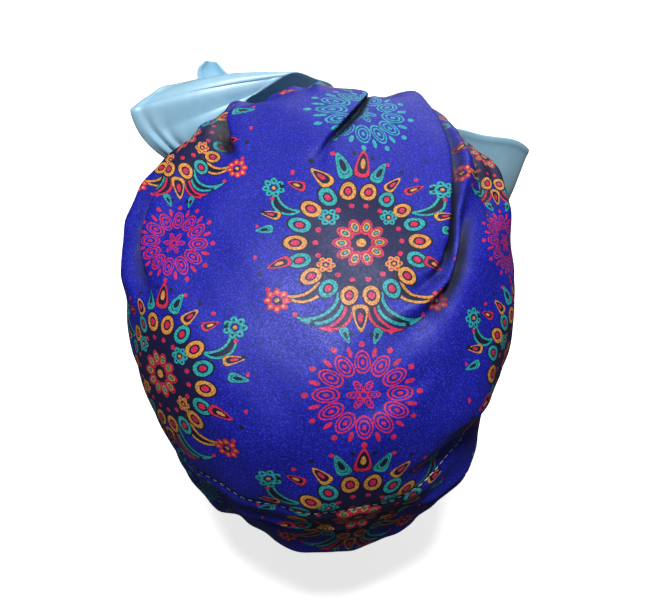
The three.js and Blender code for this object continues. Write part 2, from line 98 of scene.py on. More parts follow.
# Folds and gathers. Each is a path over the flat cloth round the top of the
# crown: across to the right, along to the back, height of the cloth (less
# than 0 is a crease), how far it slopes off to the left and to the right hand
# of someone who walks the path, and how far it laps over to the right
STEP = ("across", "along", "high", "left", "right", "lap")
FOLDS = {
    "rear_slope": (
        (-80, 92, 0.0, 26, 22, 0),
        (-50, 102, -4.5, 30, 22, 0),
        (0, 106, -4.8, 30, 25, 0),
        (38, 104, -4.5, 30, 22, 0),
        (62, 98, 0.0, 26, 20, 0),
    ),
    "left_slope": (
        (-114, 36, 0.0, 16, 16, 0),
        (-104, 58, -3.5, 16, 16, 0),
        (-91, 78, -7.0, 16, 16, 0),
        (-77, 92, -8.5, 16, 16, 0),
        (-62, 96, -5.5, 15, 15, 0),
        (-45, 92, -5.5, 14, 14, 0),
        (-31, 90, -5.5, 12, 12, 0),
        (-20, 104, -1.5, 12, 12, 0),
        (-10, 116, 0.0, 12, 12, 0),
    ),
    "left_hollow": (
        (-88, 64, 0.0, 12, 12, 0),
        (-76, 70, -3.5, 12, 12, 0),
        (-66, 73, -4.0, 12, 12, 0),
        (-52, 74, -1.5, 9, 10, 0),
        (-38, 74, -3.4, 9, 9, 0),
        (-30, 78, -2.8, 9, 9, 0),
        (-22, 90, 0.0, 9, 9, 0),
    ),
    "gather_far_left": (
        (-62, 232, 1.5, 11, 11, 0),
        (-64, 195, 3.5, 10, 10, 0),
        (-62, 150, 5.0, 9, 10, 0),
        (-58, 118, 6.0, 8, 10, 0),
        (-53, 98, 6.0, 7, 10, 0),
        (-50, 84, 3.0, 6, 9, 0),
        (-50, 66, 0.0, 6, 8, 0),
    ),
    "left_pocket": (
        (-28, 128, 0.0, 4, 8, 0),
        (-36, 104, -4.5, 3, 8, 0),
        (-41, 84, -8.0, 3, 9, 0),
        (-48, 62, -8.5, 3, 9, 0),
        (-46, 44, -5.0, 3, 8, 0),
        (-42, 28, 0.0, 4, 7, 0),
    ),
    "pocket_lip": (
        (-22, 118, 0.0, 8, 4, 0),
        (-30, 98, 1.2, 9, 4, 2),
        (-35.5, 80, 2.2, 10, 4, 4.5),
        (-42.5, 60, 3.2, 10, 4, 5),
        (-41, 42, 2.2, 9, 4, 3),
        (-37, 26, 0.0, 8, 4, 0),
    ),
    "gather_left": (
        (-16, 240, 1.5, 11, 11, 0),
        (-18, 195, 3.5, 10, 10, 0),
        (-18, 150, 4.5, 9, 9, 0),
        (-18, 118, 3.5, 9, 9, 0),
        (-18, 96, 2.5, 9, 9, 0),
        (-14, 66, 0.0, 8, 8, 0),
    ),
    "gather_centre": (
        (1, 236, 1.0, 7, 7, 0),
        (0, 195, 2.5, 7, 7, 0),
        (-1, 150, 4.5, 6, 6, 0),
        (-2, 118, 5.5, 5, 5, 0),
        (-2, 98, 5.2, 5, 5, 0),
        (-1, 82, 2.2, 5, 5, 0),
        (0, 66, 0.0, 5, 5, 0),
    ),
    "centre_pleat": (
        (20, 240, 1.5, 11, 11, 0),
        (22, 195, 3.5, 10, 10, 0),
        (24, 150, 3.5, 8, 9, 0),
        (22, 118, 1.5, 5, 10, -1),
        (20, 100, -0.5, 4, 11, -3),
        (19, 79, 1.2, 4, 15, -5),
        (13, 60, 3.2, 3.6, 16, -4.8),
        (5, 44, 3.0, 3.6, 15, -4.8),
        (-1.5, 30, 2.2, 4, 13, -3.4),
        (-5, 15, 0.0, 4, 11, 0),
    ),
    "top_dip": (
        (34, 112, 0.0, 8, 8, 0),
        (35, 96, -1.8, 9, 9, 0),
        (35, 86, -2.0, 9, 9, 0),
        (36, 72, 0.0, 8, 8, 0),
    ),
    "centre_crease": (
        (30, 120, 0.0, 4, 3, 0),
        (27, 98, -3.6, 4, 5, 0),
        (21.5, 74, -2.4, 3, 2, 0),
        (15.5, 54, -2.2, 3, 2, 0),
        (7.5, 40, -2.2, 3, 2, 0),
        (1, 28, -2.0, 3, 2, 0),
        (-2, 18, -1.6, 4, 3, 0),
        (1, 6, 0.0, 4, 4, 0),
    ),
    "panel_roll": (
        (46, 240, 1.5, 11, 11, 0),
        (48, 195, 3.5, 10, 10, 0),
        (51, 150, 5.0, 9, 10, 0),
        (52, 118, 6.5, 7, 11, 0),
        (51, 98, 6.4, 6, 12, -1.5),
        (54, 76, 4.4, 4.5, 15, -3),
        (58.5, 56, 4.2, 4, 16, -5),
        (62.4, 37, 4.6, 4, 16, -5.5),
        (63.8, 15, 4.4, 4, 16, -5.5),
        (63.4, -4, 3.8, 4, 15, -5),
        (61.4, -21, 3.0, 4, 14, -4),
        (59, -33, 1.8, 4, 12, -2),
        (46, -48, 0.0, 4, 12, 0),
    ),
    "panel_crease": (
        (58, 122, 0.0, 3, 3, 0),
        (58, 99, -5.0, 3, 3, 0),
        (60, 76, -6.0, 2.6, 2.6, 0),
        (64, 57, -6.6, 2.6, 2.6, 0),
        (67.4, 38, -6.8, 2.6, 2.6, 0),
        (69.3, 16, -6.8, 2.6, 2.6, 0),
        (68.4, -3, -6.4, 2.6, 2.6, 0),
        (66.4, -20, -5.2, 2.6, 2.6, 0),
        (64.8, -32, -4.0, 2.8, 2.8, 0),
        (60, -42, -2.8, 3, 3, 0),
        (50, -50, -1.4, 3, 3, 0),
        (38, -58, 0.0, 3, 3, 0),
    ),
    "right_tube": (
        (76, 232, 1.5, 11, 11, 0),
        (78, 195, 3.5, 10, 10, 0),
        (74, 150, 3.5, 9, 8, 0),
        (67, 112, 1.0, 8, 8, 0),
        (67, 95, 1.0, 7, 8, 0),
        (71, 76, 2.4, 7, 6, 0),
        (77, 56, 4.0, 8, 4, 0),
        (81, 38, 5.0, 9, 4, 0),
        (80.5, 16, 5.0, 8, 4, 0),
        (76.5, -4, 5.0, 4.5, 3.5, -0.5),
        (72, -20, 5.0, 3.6, 3.2, -1.5),
        (67.5, -32, 4.8, 3.6, 3.2, -2),
        (60.5, -46, 4.2, 3.6, 3.2, -2),
        (50, -56, 3.2, 4, 3.4, -1.5),
        (38, -64, 1.8, 5, 4, 0),
        (22, -71, 0.0, 6, 5, 0),
    ),
    "tube_crease": (
        (86, 24, 0.0, 6, 4, 0),
        (81, 6, -2.8, 6, 3, 0),
        (78, -8, -4.4, 6, 3, 0),
        (74.5, -25, -5.0, 6, 3, 0),
        (70, -39, -4.6, 6, 3, 0),
        (64.5, -49, -4.0, 6, 3, 0),
        (57, -59, -3.0, 6, 3, 0),
        (48, -67, -1.8, 6, 3, 0),
        (34, -74, 0.0, 5, 3, 0),
    ),
    "left_shoulder": (
        (-92, 222, 1.5, 11, 11, 0),
        (-96, 182, 3.5, 10, 10, 0),
        (-94, 145, 4.5, 10, 10, 0),
        (-86, 112, 4.0, 10, 11, 0),
        (-76, 86, 3.0, 9, 12, 0),
        (-66, 60, 1.5, 8, 13, 0),
        (-58, 34, 0.0, 8, 12, 0),
    ),
    "left_roll": (
        (-80, 66, 0.0, 6, 8, 0),
        (-99, 52, 2.5, 6, 10, 0),
        (-115, 32, 4.5, 6, 10, 0),
        (-125, 12, 5.5, 7, 10, 0),
        (-128, -8, 5.0, 7, 10, 0),
        (-126, -28, 4.2, 7, 10, 0),
        (-117, -48, 2.4, 7, 10, 0),
        (-104, -68, 0.0, 7, 10, 0),
    ),
    "left_valley": (
        (-70, 58, 0.0, 3.5, 6, 0),
        (-86, 44, -6.0, 4, 5, 0),
        (-96, 29, -8.0, 4, 5, 0),
        (-106, 12, -8.5, 4, 5, 0),
        (-111, -3, -8.0, 4, 5, 0),
        (-112, -16, -7.0, 4, 5, 0),
        (-110, -29, -4.6, 3, 6, 0),
        (-104, -45, -3.4, 3.5, 6, 0),
        (-92, -60, 0.0, 4, 6, 0),
    ),
    "left_lip": (
        (-66, 54, 0.0, 12, 4, 0),
        (-79, 41, 2.0, 12, 4, 1.6),
        (-88, 26, 3.0, 13, 4, 2.0),
        (-98, 9, 3.2, 13, 4, 2.0),
        (-103, -5, 3.0, 13, 4, 1.8),
        (-104, -17, 2.4, 13, 4, 1.6),
        (-103, -28, 1.6, 12, 4, 1.2),
        (-96, -42, 0.0, 12, 4, 0),
    ),
    "right_valley": (
        (88, 96, 0.0, 6, 5, 0),
        (92, 66, -4.5, 6, 4, 0),
        (99, 40, -4.5, 6, 4, 0),
        (104, 12, -3.0, 6, 4, 0),
        (106, -14, 0.0, 6, 5, 0),
    ),
    "right_roll": (
        (102, 118, 0.0, 9, 8, 0),
        (112, 86, 4.5, 10, 7, 0),
        (119, 56, 5.4, 10, 6, 1),
        (124, 26, 3.0, 10, 6, 1),
        (126, -2, 1.4, 10, 8, 0),
        (124, -30, 0.0, 10, 9, 0),
    ),
    "gather_right": (
        (112, 212, 1.5, 11, 11, 0),
        (112, 176, 3.0, 10, 10, 0),
        (110, 146, 3.5, 9, 9, 0),
        (106, 116, 0.0, 8, 8, 0),
    ),
    "brow_dent": (
        (62, -86, 0.0, 7, 8, 0),
        (46, -99, -1.6, 5, 8, 0),
        (24, -111, -1.3, 5, 8, 0),
        (6, -117, 0.0, 6, 8, 0),
    ),
    "lower_roll": (
        (160, -40, 0.0, 14, 14, 0),
        (150, -68, 1.5, 14, 14, 0),
        (134, -86, 0.5, 12, 14, -1),
        (114, -100, 1.2, 9, 14, -3),
        (92, -110, 3.0, 8, 14, -3.5),
        (76, -119, 2.4, 8, 13, -2),
        (56, -128, 0.0, 9, 12, 0),
    ),
    "lower_valley": (
        (158, -110, 0.0, 10, 8, 0),
        (134, -120, -2.0, 12, 7, 0),
        (110, -129, -5.0, 13, 6, 0),
        (85, -140, -5.6, 13, 6, 0),
        (62, -150, -3.0, 12, 7, 0),
        (40, -156, 0.0, 10, 8, 0),
    ),
    "right_cheek": (
        (192, -92, 0.0, 22, 20, 0),
        (168, -124, 5.2, 22, 20, 0),
        (144, -150, 9.2, 24, 20, 0),
        (122, -168, 10.6, 24, 18, 0),
        (98, -182, 7.5, 22, 18, 0),
        (72, -192, 0.0, 20, 18, 0),
    ),
    "left_cheek": (
        (-180, -20, 0.0, 26, 24, 0),
        (-172, -62, 3.0, 26, 24, 0),
        (-152, -102, 2.0, 26, 24, 0),
        (-138, -138, 3.0, 26, 26, 0),
        (-126, -170, 6.5, 24, 24, 0),
        (-112, -188, 4.0, 22, 22, 0),
        (-84, -196, 0.0, 20, 20, 0),
    ),
    "right_chin": (
        (150, -206, 0.0, 14, 14, 0),
        (124, -214, 1.0, 14, 14, 0),
        (92, -222, 2.6, 14, 14, 0),
        (58, -232, 1.2, 14, 14, 0),
        (20, -237, 1.8, 14, 14, 0),
        (-20, -238, 1.8, 14, 14, 0),
        (-50, -234, 0.0, 14, 14, 0),
    ),
    "left_chin": (
        (-128, -214, 0.0, 12, 12, 0),
        (-100, -218, -4.0, 12, 14, 0),
        (-66, -228, -2.0, 12, 14, 0),
        (-30, -236, 0.0, 12, 14, 0),
    ),
}

# Soft waves of the cloth between the folds: length across and along, in mm,
# start, and height
WAVES = (
    (71, 97, 0.3, 0.55),
    (-53, 83, 1.9, 0.40),
    (43, -61, 4.1, 0.28),
    (29, 37, 2.4, 0.14),
)

# Fine gathers at the back: how far they stand out, the way at which they start
# and how much further on they are full, in mm, and how they grow round to the back
RUCK_HIGH = 0.55
RUCK_START = 105
RUCK_GROWS = 90
RUCK_REAR = (1.6, 0.25)
# Their rucks: number round the cap, size of their sway, and number of sways. The
# small rucks among them: number, start, and share of the height
RUCKS = (62, 1.7, 9)
SMALL_RUCKS = (103, 2.0, 0.6)
# How the gathers draw the print to the back: the way at which they start to, how
# much further on they do it in full, and the most turn
PRINT_PULL = (70, 130, 0.35)
# Steps for the way that the cloth faces: of the turn, of the way in mm, and the
# least way, because the top of the crown faces up
TURN_STEP = 0.002
WAY_STEP = 1
LEAST_WAY = 3.0

# The crown's cloth near its hem, in mm: the pull of the stitches and the puff
# under them as way past the line, height and reach; the roll and the tuck of the
# lower edge as way, height and reach
HEM_PULL = (0, -0.9, 2.2)
HEM_PUFF = (7, 0.7, 5.0)
HEM_ROLL = (198, 1.3, 3.5)
HEM_TUCK = (199.5, -1.5, 3.5)
# The band's turned edges: way, height and reach
BAND_LOW_EDGE = (235.2, -1.1, 1.8)
BAND_TOP_EDGE = (206, -1.6, 4)
BAND_WALL = 2.2

# Rows of corners over the cloth: start and end as ways in mm, and number. The
# inside has a corner for every third one of the outside
CROWN_SPANS = ((203, 190, 14), (189, 60, 112), (58.6, 8, 34))
BAND_SPANS = ((237, 235.4, 4), (234, 205, 20), (203.8, 201.5, 4))
INSIDE_EVERY = 3

# Knot and strips of the sash, with heights counted from the rim, in mm
KNOT = {"y": 103.0, "z": 15.0, "wide": 11.0, "deep": 9.0, "tall": 12.0, "power": 3.0}
SIDE = 9.0
BACK = 110.0
STRIPS = {
    "sash_loop_left": (
        ((-SIDE, 100, 11), (-SIDE, 100, 21), 0),
        ((-42, 106, 24), (-23, 117, 47), 3),
        ((-76, 110, 41), (-34, 124, 69), 5),
        ((-94.5, 112, 57), (-43, 127, 84), 5),
        ((-105, 117.5, 67.5), (-35, 132, 88), 4),
        ((-110, 124.5, 78), (-27, 135.5, 91.5), 4),
        ((-108.5, 128.5, 79.5), (-21, 138.2, 93.8), 4.5),
        ((-101, 134, 82), (-14, 141.5, 94), 5),
        ((-91, 142, 82.5), (-4, 153, 78.5), 4),
        ((-84, 153, 62.5), (8, 159, 65), 3),
        ((-66, 147, 46), (6, 146, 52), 5),
        ((-36, 132, 26), (-2, 129, 32), 3),
        ((-SIDE, 107, 11), (-SIDE, 107, 20), 0),
    ),
    "sash_loop_right": (
        ((SIDE, 100, 21), (SIDE, 100, 9), 0),
        ((32, 116, 41), (30, 101, -4), -3),
        ((54, 122, 59), (56, 106, -9), -4),
        ((76.5, 131, 59.5), (78, 107, -7), -1),
        ((98.5, 134.5, 50), (94, 110, -9), 1.5),
        ((119.5, 138, 42), (107, 116, -13), 1.5),
        ((129, 139.5, 31.5), (117, 126, -16), 0),
        ((117, 145, 29), (106, 135, -17), -3),
        ((88.5, 146, 32), (84, 134, -13), -4),
        ((48, 130, 33), (44, 122, -4), -3),
        ((SIDE, 107, 20), (SIDE, 107, 10), 0),
    ),
    "sash_tail_left": (
        ((-7, BACK, 15), (4, BACK, 18), 0),
        ((-28, 133, 12), (-8, 134, 20), -2),
        ((-54, 150, 33), (-24, 150, 44), -3),
        ((-68, 154, 54), (-34, 156, 54), -3),
        ((-73, 157, 69), (-42, 160, 60), -3),
        ((-74, 163, 76), (-55, 165, 69), -3),
        ((-69.5, 168, 79), (-63, 169, 77), -1),
    ),
    "sash_tail_right": (
        ((-5, BACK, 7), (6, BACK, 7), 0),
        ((-8, 121, -10), (24, 121, -8), -2),
        ((-2, 123, -36), (45, 123, -34), -4),
        ((6, 122, -62), (58, 123, -56), -4),
        ((12, 120, -88), (64, 121, -72), -3),
    ),
}

# Lengthwise creases of a strip: where across it and where along it they are
# deepest, how far they reach across and along (all shares of the strip), and
# their height in mm, less than 0 where they go in
CREASES = {
    "sash_loop_left": (
        (0.05, 0.22, 0.03, 0.16, 1.5),
        (0.13, 0.22, 0.03, 0.17, -1.6),
        (0.20, 0.21, 0.03, 0.15, 1.4),
        (0.28, 0.20, 0.03, 0.14, -1.2),
        (0.36, 0.18, 0.04, 0.13, 0.6),
        (0.62, 0.10, 0.08, 0.08, -0.8),
        (0.30, 0.92, 0.05, 0.14, -1.5),
        (0.55, 0.90, 0.05, 0.15, 1.6),
        (0.76, 0.92, 0.05, 0.13, -1.4),
    ),
    "sash_loop_right": (
        (0.25, 0.08, 0.05, 0.15, 1.6),
        (0.42, 0.09, 0.05, 0.17, -1.8),
        (0.60, 0.08, 0.05, 0.16, 1.5),
        (0.78, 0.08, 0.05, 0.13, -1.5),
        (0.30, 0.93, 0.05, 0.15, -1.5),
        (0.52, 0.92, 0.05, 0.17, 1.7),
        (0.74, 0.93, 0.05, 0.14, -1.5),
    ),
    "sash_tail_left": (
        (0.30, 0.10, 0.07, 0.35, -1.3),
        (0.62, 0.15, 0.07, 0.40, 1.3),
    ),
    "sash_tail_right": (
        (0.25, 0.10, 0.06, 0.35, -1.5),
        (0.50, 0.15, 0.06, 0.45, 1.6),
        (0.75, 0.10, 0.06, 0.35, -1.4),
    ),
    "sash_lead_left": ((0.3, 0.9, 0.1, 0.5, 0.7), (0.7, 0.9, 0.1, 0.5, -0.7)),
    "sash_lead_right": ((0.3, 0.9, 0.1, 0.5, 0.7), (0.7, 0.9, 0.1, 0.5, -0.7)),
}
# How far a crease sways across its strip, as a share of it, how fast it sways
# along the strip, and how much its start differs from one crease to the next
CREASE_SWAY = (0.05, 7, 9)
# Ripples of the satin: height in mm, and how fast they run along and across
RIPPLE = (0.25, 9, 5)
# Hem of the satin, in mm: place from the edge, height and reach
SATIN_HEM = (2.0, 0.35, 1.6)

# Leads: turn from the back at which each leaves the band, the ways over the
# cloth of its two edges there, and how far it stands off the band, then how far
# back and at what heights its two edges end at the knot, in mm
LEAD_TURN = 0.4
LEAD_WAYS = (213, 229)
LEAD_OFF = 0.9
LEAD_BACK = 97.0
LEAD_TOP = 20.0
LEAD_LOW = 10.0
# Half way along a lead: share of the way to the knot, place across, swell to the
# back, and height of its belly, in mm
LEAD_HALF = 0.45
LEAD_ACROSS = 11.0
LEAD_SWELL = 2.5
LEAD_BELLY = 0.5

# Knot: rings and columns of its corners, and metres of satin to a turn
KNOT_RINGS = 60
KNOT_COLUMNS = 96
KNOT_PLACE = 0.01
# Creases of the knot: height as a share of its size. The great ones: how close
# they lie, and the size, number and start of their sway. The small ones: how
# close they lie, how fast they slant, and their share of the height
KNOT_CREASE = 0.045
KNOT_GREAT = (9, 1.2, 2, 0.6)
KNOT_SMALL = (17, 2, 0.5)

# Topstitch: corners of the line that it follows, how far up the cloth in mm a
# second line tells which way it faces, and the start of a stitch in its pitch
LINE_CORNERS = 4000
LINE_UP = 1.5
STITCH_START = 0.1
# One stitch: its sides, its rings as shares of its length and of the thread's
# half thickness, and in half thicknesses how high it arches and how deep it lies
STITCH_SIDES = 8
STITCH_RINGS = (
    (0.0, 0.05), (0.06, 0.75), (0.25, 1.0), (0.75, 1.0), (0.94, 0.75), (1.0, 0.05))
STITCH_ARCH = 1.5
STITCH_SUNK = 0.7

# Camera: the photograph's angle, its distance and lens, and the point of the
# cap that it looks at
VIEW_RISE = math.radians(55)
VIEW_DISTANCE = 0.560
VIEW_LENS = 60.56
VIEW_TARGET = (0.0, -0.005, -0.0772)
VIEW_SHIFT = (0.0023, -0.0023)

# Width of the camera's sensor in mm, how near it sees and the floor's side, in m
SENSOR = 36.0
CLIP = 0.01
FLOOR_SIDE = 12.0

# Where the lights stand: the key light high over the crown, the fill light high
# in front of the brow, and a soft light low behind the bow
KEY_PLACE = (-0.03, -0.10, 1.14)
FILL_PLACE = (0.10, -0.90, 0.95)
BACK_PLACE = (0.25, 1.15, 0.12)


def srgb(red, green, blue):
    """Linear colour from the 0 to 255 values of a screen."""
    def linear(v):
        v /= 255.0
        return v / 12.92 if v <= 0.04045 else ((v + 0.055) / 1.055) ** 2.4
    return (linear(red), linear(green), linear(blue))


def tint(name, says, colour):
    """A colour among the settings."""
    return bpy.props.FloatVectorProperty(
        name=name, description=says, subtype="COLOR", default=colour, min=0, max=1)


def length(name, says, size):
    """A length among the settings, given in mm."""
    return bpy.props.FloatProperty(
        name=name, description=says, default=size * MM, unit="LENGTH")


class CapSettings(bpy.types.PropertyGroup):
    """Sizes and colours of the cap."""
    columns: bpy.props.IntProperty(
        name="Columns", description="Corners round the cap", default=444, min=96, max=480)
    wall: length("Cloth", "Thickness of the crown's cloth and its hem", 1.5)
    hem_way: length("Hem line", "Way over the cloth from the top to the line of stitches", 176)
    stitch: length("Stitch", "Length of one stitch", 3.1)
    stitch_gap: length("Stitch gap", "Gap between two stitches", 0.9)
    thread: length("Thread", "Thickness of the thread", 0.55)
    ground: tint("Ground", "Blue of the printed cloth", srgb(15, 21, 188))
    fleck: tint("Flecks", "Pale flecks in the blue of the cloth", srgb(90, 100, 224))
    teal: tint("Teal", "Teal of the print", srgb(48, 190, 194))
    red: tint("Red", "Red of the print", srgb(242, 44, 92))
    orange: tint("Orange", "Orange of the print", srgb(250, 172, 72))
    dark: tint("Dark", "Dark ink of the print", srgb(22, 20, 52))
    thread_colour: tint("Thread colour", "Colour of the thread", srgb(222, 230, 246))


class SashSettings(bpy.types.PropertyGroup):
    """Sizes and colour of the sash."""
    wall: length("Satin", "Thickness of the satin", 0.7)
    across: bpy.props.IntProperty(
        name="Across", description="Faces across a strip", default=76, min=8, max=96)
    steps: bpy.props.IntProperty(
        name="Steps", description="Rows of faces for each station", default=12, min=3, max=20)
    satin: tint("Satin colour", "Pale blue of the sash", srgb(176, 226, 250))


class StudioSettings(bpy.types.PropertyGroup):
    """Floor and lights."""
    floor: tint("Floor", "Colour of the floor", (0.95, 0.95, 0.955))
    floor_drop: length("Floor drop", "Space between the lowest piece and the floor", 12)
    floor_glow: bpy.props.FloatProperty(
        name="Floor glow", description="Strength of the light table's own light", default=0.72)
    key: bpy.props.FloatProperty(
        name="Key light", description="Strength of the key light", default=3.2)
    key_size: bpy.props.FloatProperty(
        name="Key size", description="Angle that the key light fills",
        default=math.radians(13), subtype="ANGLE")
    fill: bpy.props.FloatProperty(
        name="Fill light", description="Power of the fill light", default=0.18, unit="POWER")
    fill_size: length("Fill size", "Side of the fill light and of the back light", 700)
    back: bpy.props.FloatProperty(
        name="Back light", description="Power of the back light", default=3.4, unit="POWER")
    sky: bpy.props.FloatProperty(
        name="Sky", description="Strength of the light from all round", default=0.045)


def mix(a, b, k):
    """What lies between two values, at that share of the way."""
    return a + (b - a) * k


def unit(v):
    """Vectors of length 1, along the last axis."""
    size = np.linalg.norm(v, axis=-1, keepdims=True)
    return v / np.maximum(size, 1e-9)


def curve(a, b, c, d, k):
    """Smooth curve through four values, from the second to the third."""
    bend = 2 * a - 5 * b + 4 * c - d
    turn = 3 * b - a - 3 * c + d
    return 0.5 * (2 * b + (c - a) * k + bend * k * k + turn * k ** 3)


def sections_at(rows, way):
    """Sizes of the section at each way over the cloth from the top."""
    sizes = np.array(rows, float)
    last = len(sizes) - 1
    ways = sizes[:, SECTION.index("way")]
    start = 2 * sizes[0] - sizes[1]
    end = 2 * sizes[-1] - sizes[-2]
    if sizes[-1, SECTION.index("half")] == 0:
        rise = SECTION.index("rise")
        end = -sizes[-2]
        end[rise] = sizes[-2, rise]
    line = np.vstack([start, sizes, end])
    i = np.clip(np.searchsorted(-ways, -way, side="right") - 1, 0, last - 1)
    k = ((ways[i] - way) / (ways[i] - ways[i + 1]))[..., None]
    return curve(line[i], line[i + 1], line[i + 2], line[i + 3], k)


def plain_points(rows, turn, way):
    """Smooth cap without folds: points for a grid of turns and ways."""
    rise, half, front, back, mid, _ = np.moveaxis(sections_at(rows, way), -1, 0)
    c = np.cos(turn)
    n = np.sin(turn)
    reach = np.maximum(np.where(n > 0, back, front), 1e-6)
    power = np.where(n > 0, PLAN_BACK, PLAN_FRONT)
    side = (np.abs(c) / np.maximum(half, 1e-6)) ** power
    r = (side + (np.abs(n) / reach) ** power) ** (-1 / power)
    return np.stack([r * c, mid + r * n, rise + RIM_Z], axis=-1)


def fold_field(across, along):
    """Height of all folds, and their lap across and along, on the flat cloth."""
    height = np.zeros_like(across)
    lap_x = np.zeros_like(across)
    lap_y = np.zeros_like(across)
    for path in FOLDS.values():
        best = np.full_like(across, 1e9)
        high = np.zeros_like(across)
        side_x = np.zeros_like(across)
        side_y = np.zeros_like(across)
        for p, q in zip(path[:-1], path[1:]):
            p = dict(zip(STEP, p))
            q = dict(zip(STEP, q))
            dx = q["across"] - p["across"]
            dy = q["along"] - p["along"]
            ex = across - p["across"]
            ey = along - p["along"]
            k = np.clip((ex * dx + ey * dy) / (dx * dx + dy * dy), 0, 1)
            gap = np.hypot(ex - k * dx, ey - k * dy)
            left = dx * ey - dy * ex > 0
            ease = k * k * (3 - 2 * k)
            reach = np.where(left, mix(p["left"], q["left"], k), mix(p["right"], q["right"], k))
            fall = np.exp(-(gap / reach) ** 2)
            near = gap < best
            best = np.where(near, gap, best)
            high = np.where(near, mix(p["high"], q["high"], ease) * fall, high)
            lap = mix(p["lap"], q["lap"], ease) * fall ** 1.5 / math.hypot(dx, dy)
            side_x = np.where(near, lap * dy, side_x)
            side_y = np.where(near, -lap * dx, side_y)
        height += high
        lap_x += side_x
        lap_y += side_y
    return height, lap_x, lap_y


def soft_waves(across, along):
    """Slow waves and fine gathers of the cloth between the folds."""
    height = np.zeros_like(across)
    for wide, long, start, high in WAVES:
        height += high * np.sin(2 * math.pi * (across / wide + along / long) + start)
    way = np.hypot(across, along)
    turn = np.arctan2(along, across)
    rear = np.clip(np.sin(turn) * RUCK_REAR[0] - RUCK_REAR[1], 0, 1)
    low = np.clip((way - RUCK_START) / RUCK_GROWS, 0, 1)
    count, sway, sways = RUCKS
    ruck = np.sin(turn * count + sway * np.sin(turn * sways))
    count, start, share = SMALL_RUCKS
    ruck += share * np.sin(turn * count + start)
    return height + RUCK_HIGH * rear * low * ruck


def bump_at(way, middle, high, reach):
    """A soft bump or dip of the cloth across one way."""
    return high * np.exp(-((way - middle) / reach) ** 2)


def hem_profile(way, hem_way):
    """Small step of the crown's wall at its hem, and its turn at the seam."""
    pull = bump_at(way - hem_way, *HEM_PULL)
    puff = bump_at(way - hem_way, *HEM_PUFF)
    start, high, reach = HEM_TUCK
    tuck = high * np.clip((way - start) / reach, 0, 1) ** 2
    return pull + puff + bump_at(way, *HEM_ROLL) + tuck


def band_profile(way):
    """The band's two edges, turned in."""
    start, high, reach = BAND_LOW_EDGE
    low = high * np.clip((way - start) / reach, 0, 1) ** 2
    start, high, reach = BAND_TOP_EDGE
    return low + high * np.clip((start - way) / reach, 0, 1)


def turns_of(count):
    """Turns of the columns round the cap, closer together at the back."""
    even = np.arange(count) * 2 * math.pi / count
    return even + BACK_CLOSER * np.cos(even)


def cap_surface(rows, turn, way, detail):
    """Outside of the cap with its folds, and the way it faces."""
    across = way * np.cos(turn)
    along = way * np.sin(turn)
    base = plain_points(rows, turn, way)
    low = np.maximum(way, LEAST_WAY)

    def points_near(turned, further):
        return plain_points(rows, turn + turned, low + further)

    round_ = unit(points_near(TURN_STEP, 0) - points_near(-TURN_STEP, 0))
    down = unit(points_near(0, WAY_STEP) - points_near(0, -WAY_STEP))
    out = unit(np.cross(down, round_))
    height, lap_x, lap_y = fold_field(across, along)
    height = height + soft_waves(across, along) + detail
    outward = lap_x * np.cos(turn) + lap_y * np.sin(turn)
    sideways = -lap_x * np.sin(turn) + lap_y * np.cos(turn)
    points = base + out * height[..., None]
    points += down * outward[..., None] + round_ * sideways[..., None]
    return points, out, height, base


def print_place(turn, way):
    """Place on the print. The gathers at the back take up more of the cloth."""
    start, grows, most = PRINT_PULL
    pull = most * np.clip((way - start) / grows, 0, 1)
    angle = turn - pull * np.cos(turn)
    return np.stack([way * np.cos(angle), way * np.sin(angle)], axis=-1) * MM


class Sewing:
    """Collects corners, faces, the place of each corner on the print, and materials."""

    def __init__(self):
        self.points = []
        self.places = []
        self.faces = []
        self.kinds = []

    def rows(self, points, places):
        """Adds a grid of corners and gives their numbers."""
        start = len(self.points)
        flat = points.reshape(-1, 3)
        self.points.extend(flat.tolist())
        places = np.broadcast_to(places, points.shape[:-1] + (2,))
        self.places.extend(places.reshape(-1, 2).tolist())
        return (start + np.arange(len(flat))).reshape(points.shape[:-1])

    def face(self, corners, kind=0):
        """Adds one face, with the number of its material."""
        self.faces.append(tuple(int(c) for c in corners))
        self.kinds.append(kind)

    def grid(self, numbers, flip=False, round_=False, kind=0):
        """Faces between neighbouring corners of a grid."""
        rows, columns = numbers.shape
        for i in range(rows if round_ else rows - 1):
            j = (i + 1) % rows
            for k in range(columns - 1):
                quad = (numbers[i, k], numbers[j, k], numbers[j, k + 1], numbers[i, k + 1])
                self.face(quad[::-1] if flip else quad, kind)

    def finish(self, name, materials):
        """Makes the object, smooth all over, with the print's places as a UV map."""
        mesh = bpy.data.meshes.new(name)
        mesh.from_pydata(self.points, [], self.faces)
        layer = mesh.uv_layers.new(name="Cloth")
        corners = np.empty(len(mesh.loops), np.int32)
        mesh.loops.foreach_get("vertex_index", corners)
        layer.data.foreach_set("uv", np.array(self.places, np.float32)[corners].ravel())
        for material in materials:
            mesh.materials.append(material)
        mesh.polygons.foreach_set("material_index", self.kinds)
        mesh.polygons.foreach_set("use_smooth", [True] * len(mesh.polygons))
        mesh.validate()
        mesh.update()
        thing = bpy.data.objects.new(name, mesh)
        bpy.context.scene.collection.objects.link(thing)
        return thing


def least_near(height, reach):
    """Least height within reach corners of each corner; the first axis goes round."""
    low = height.copy()
    for _ in range(reach):
        padded = np.pad(low, ((0, 0), (1, 1)), mode="edge")
        low = np.minimum(np.minimum(padded[:, :-2], padded[:, 2:]), low)
        low = np.minimum(np.minimum(np.roll(low, 1, 0), np.roll(low, -1, 0)), low)
    return low


def ways_of(spans):
    """Ways over the cloth of all the rows, from spans of start, end and count."""
    return np.concatenate([np.linspace(*span) for span in spans])


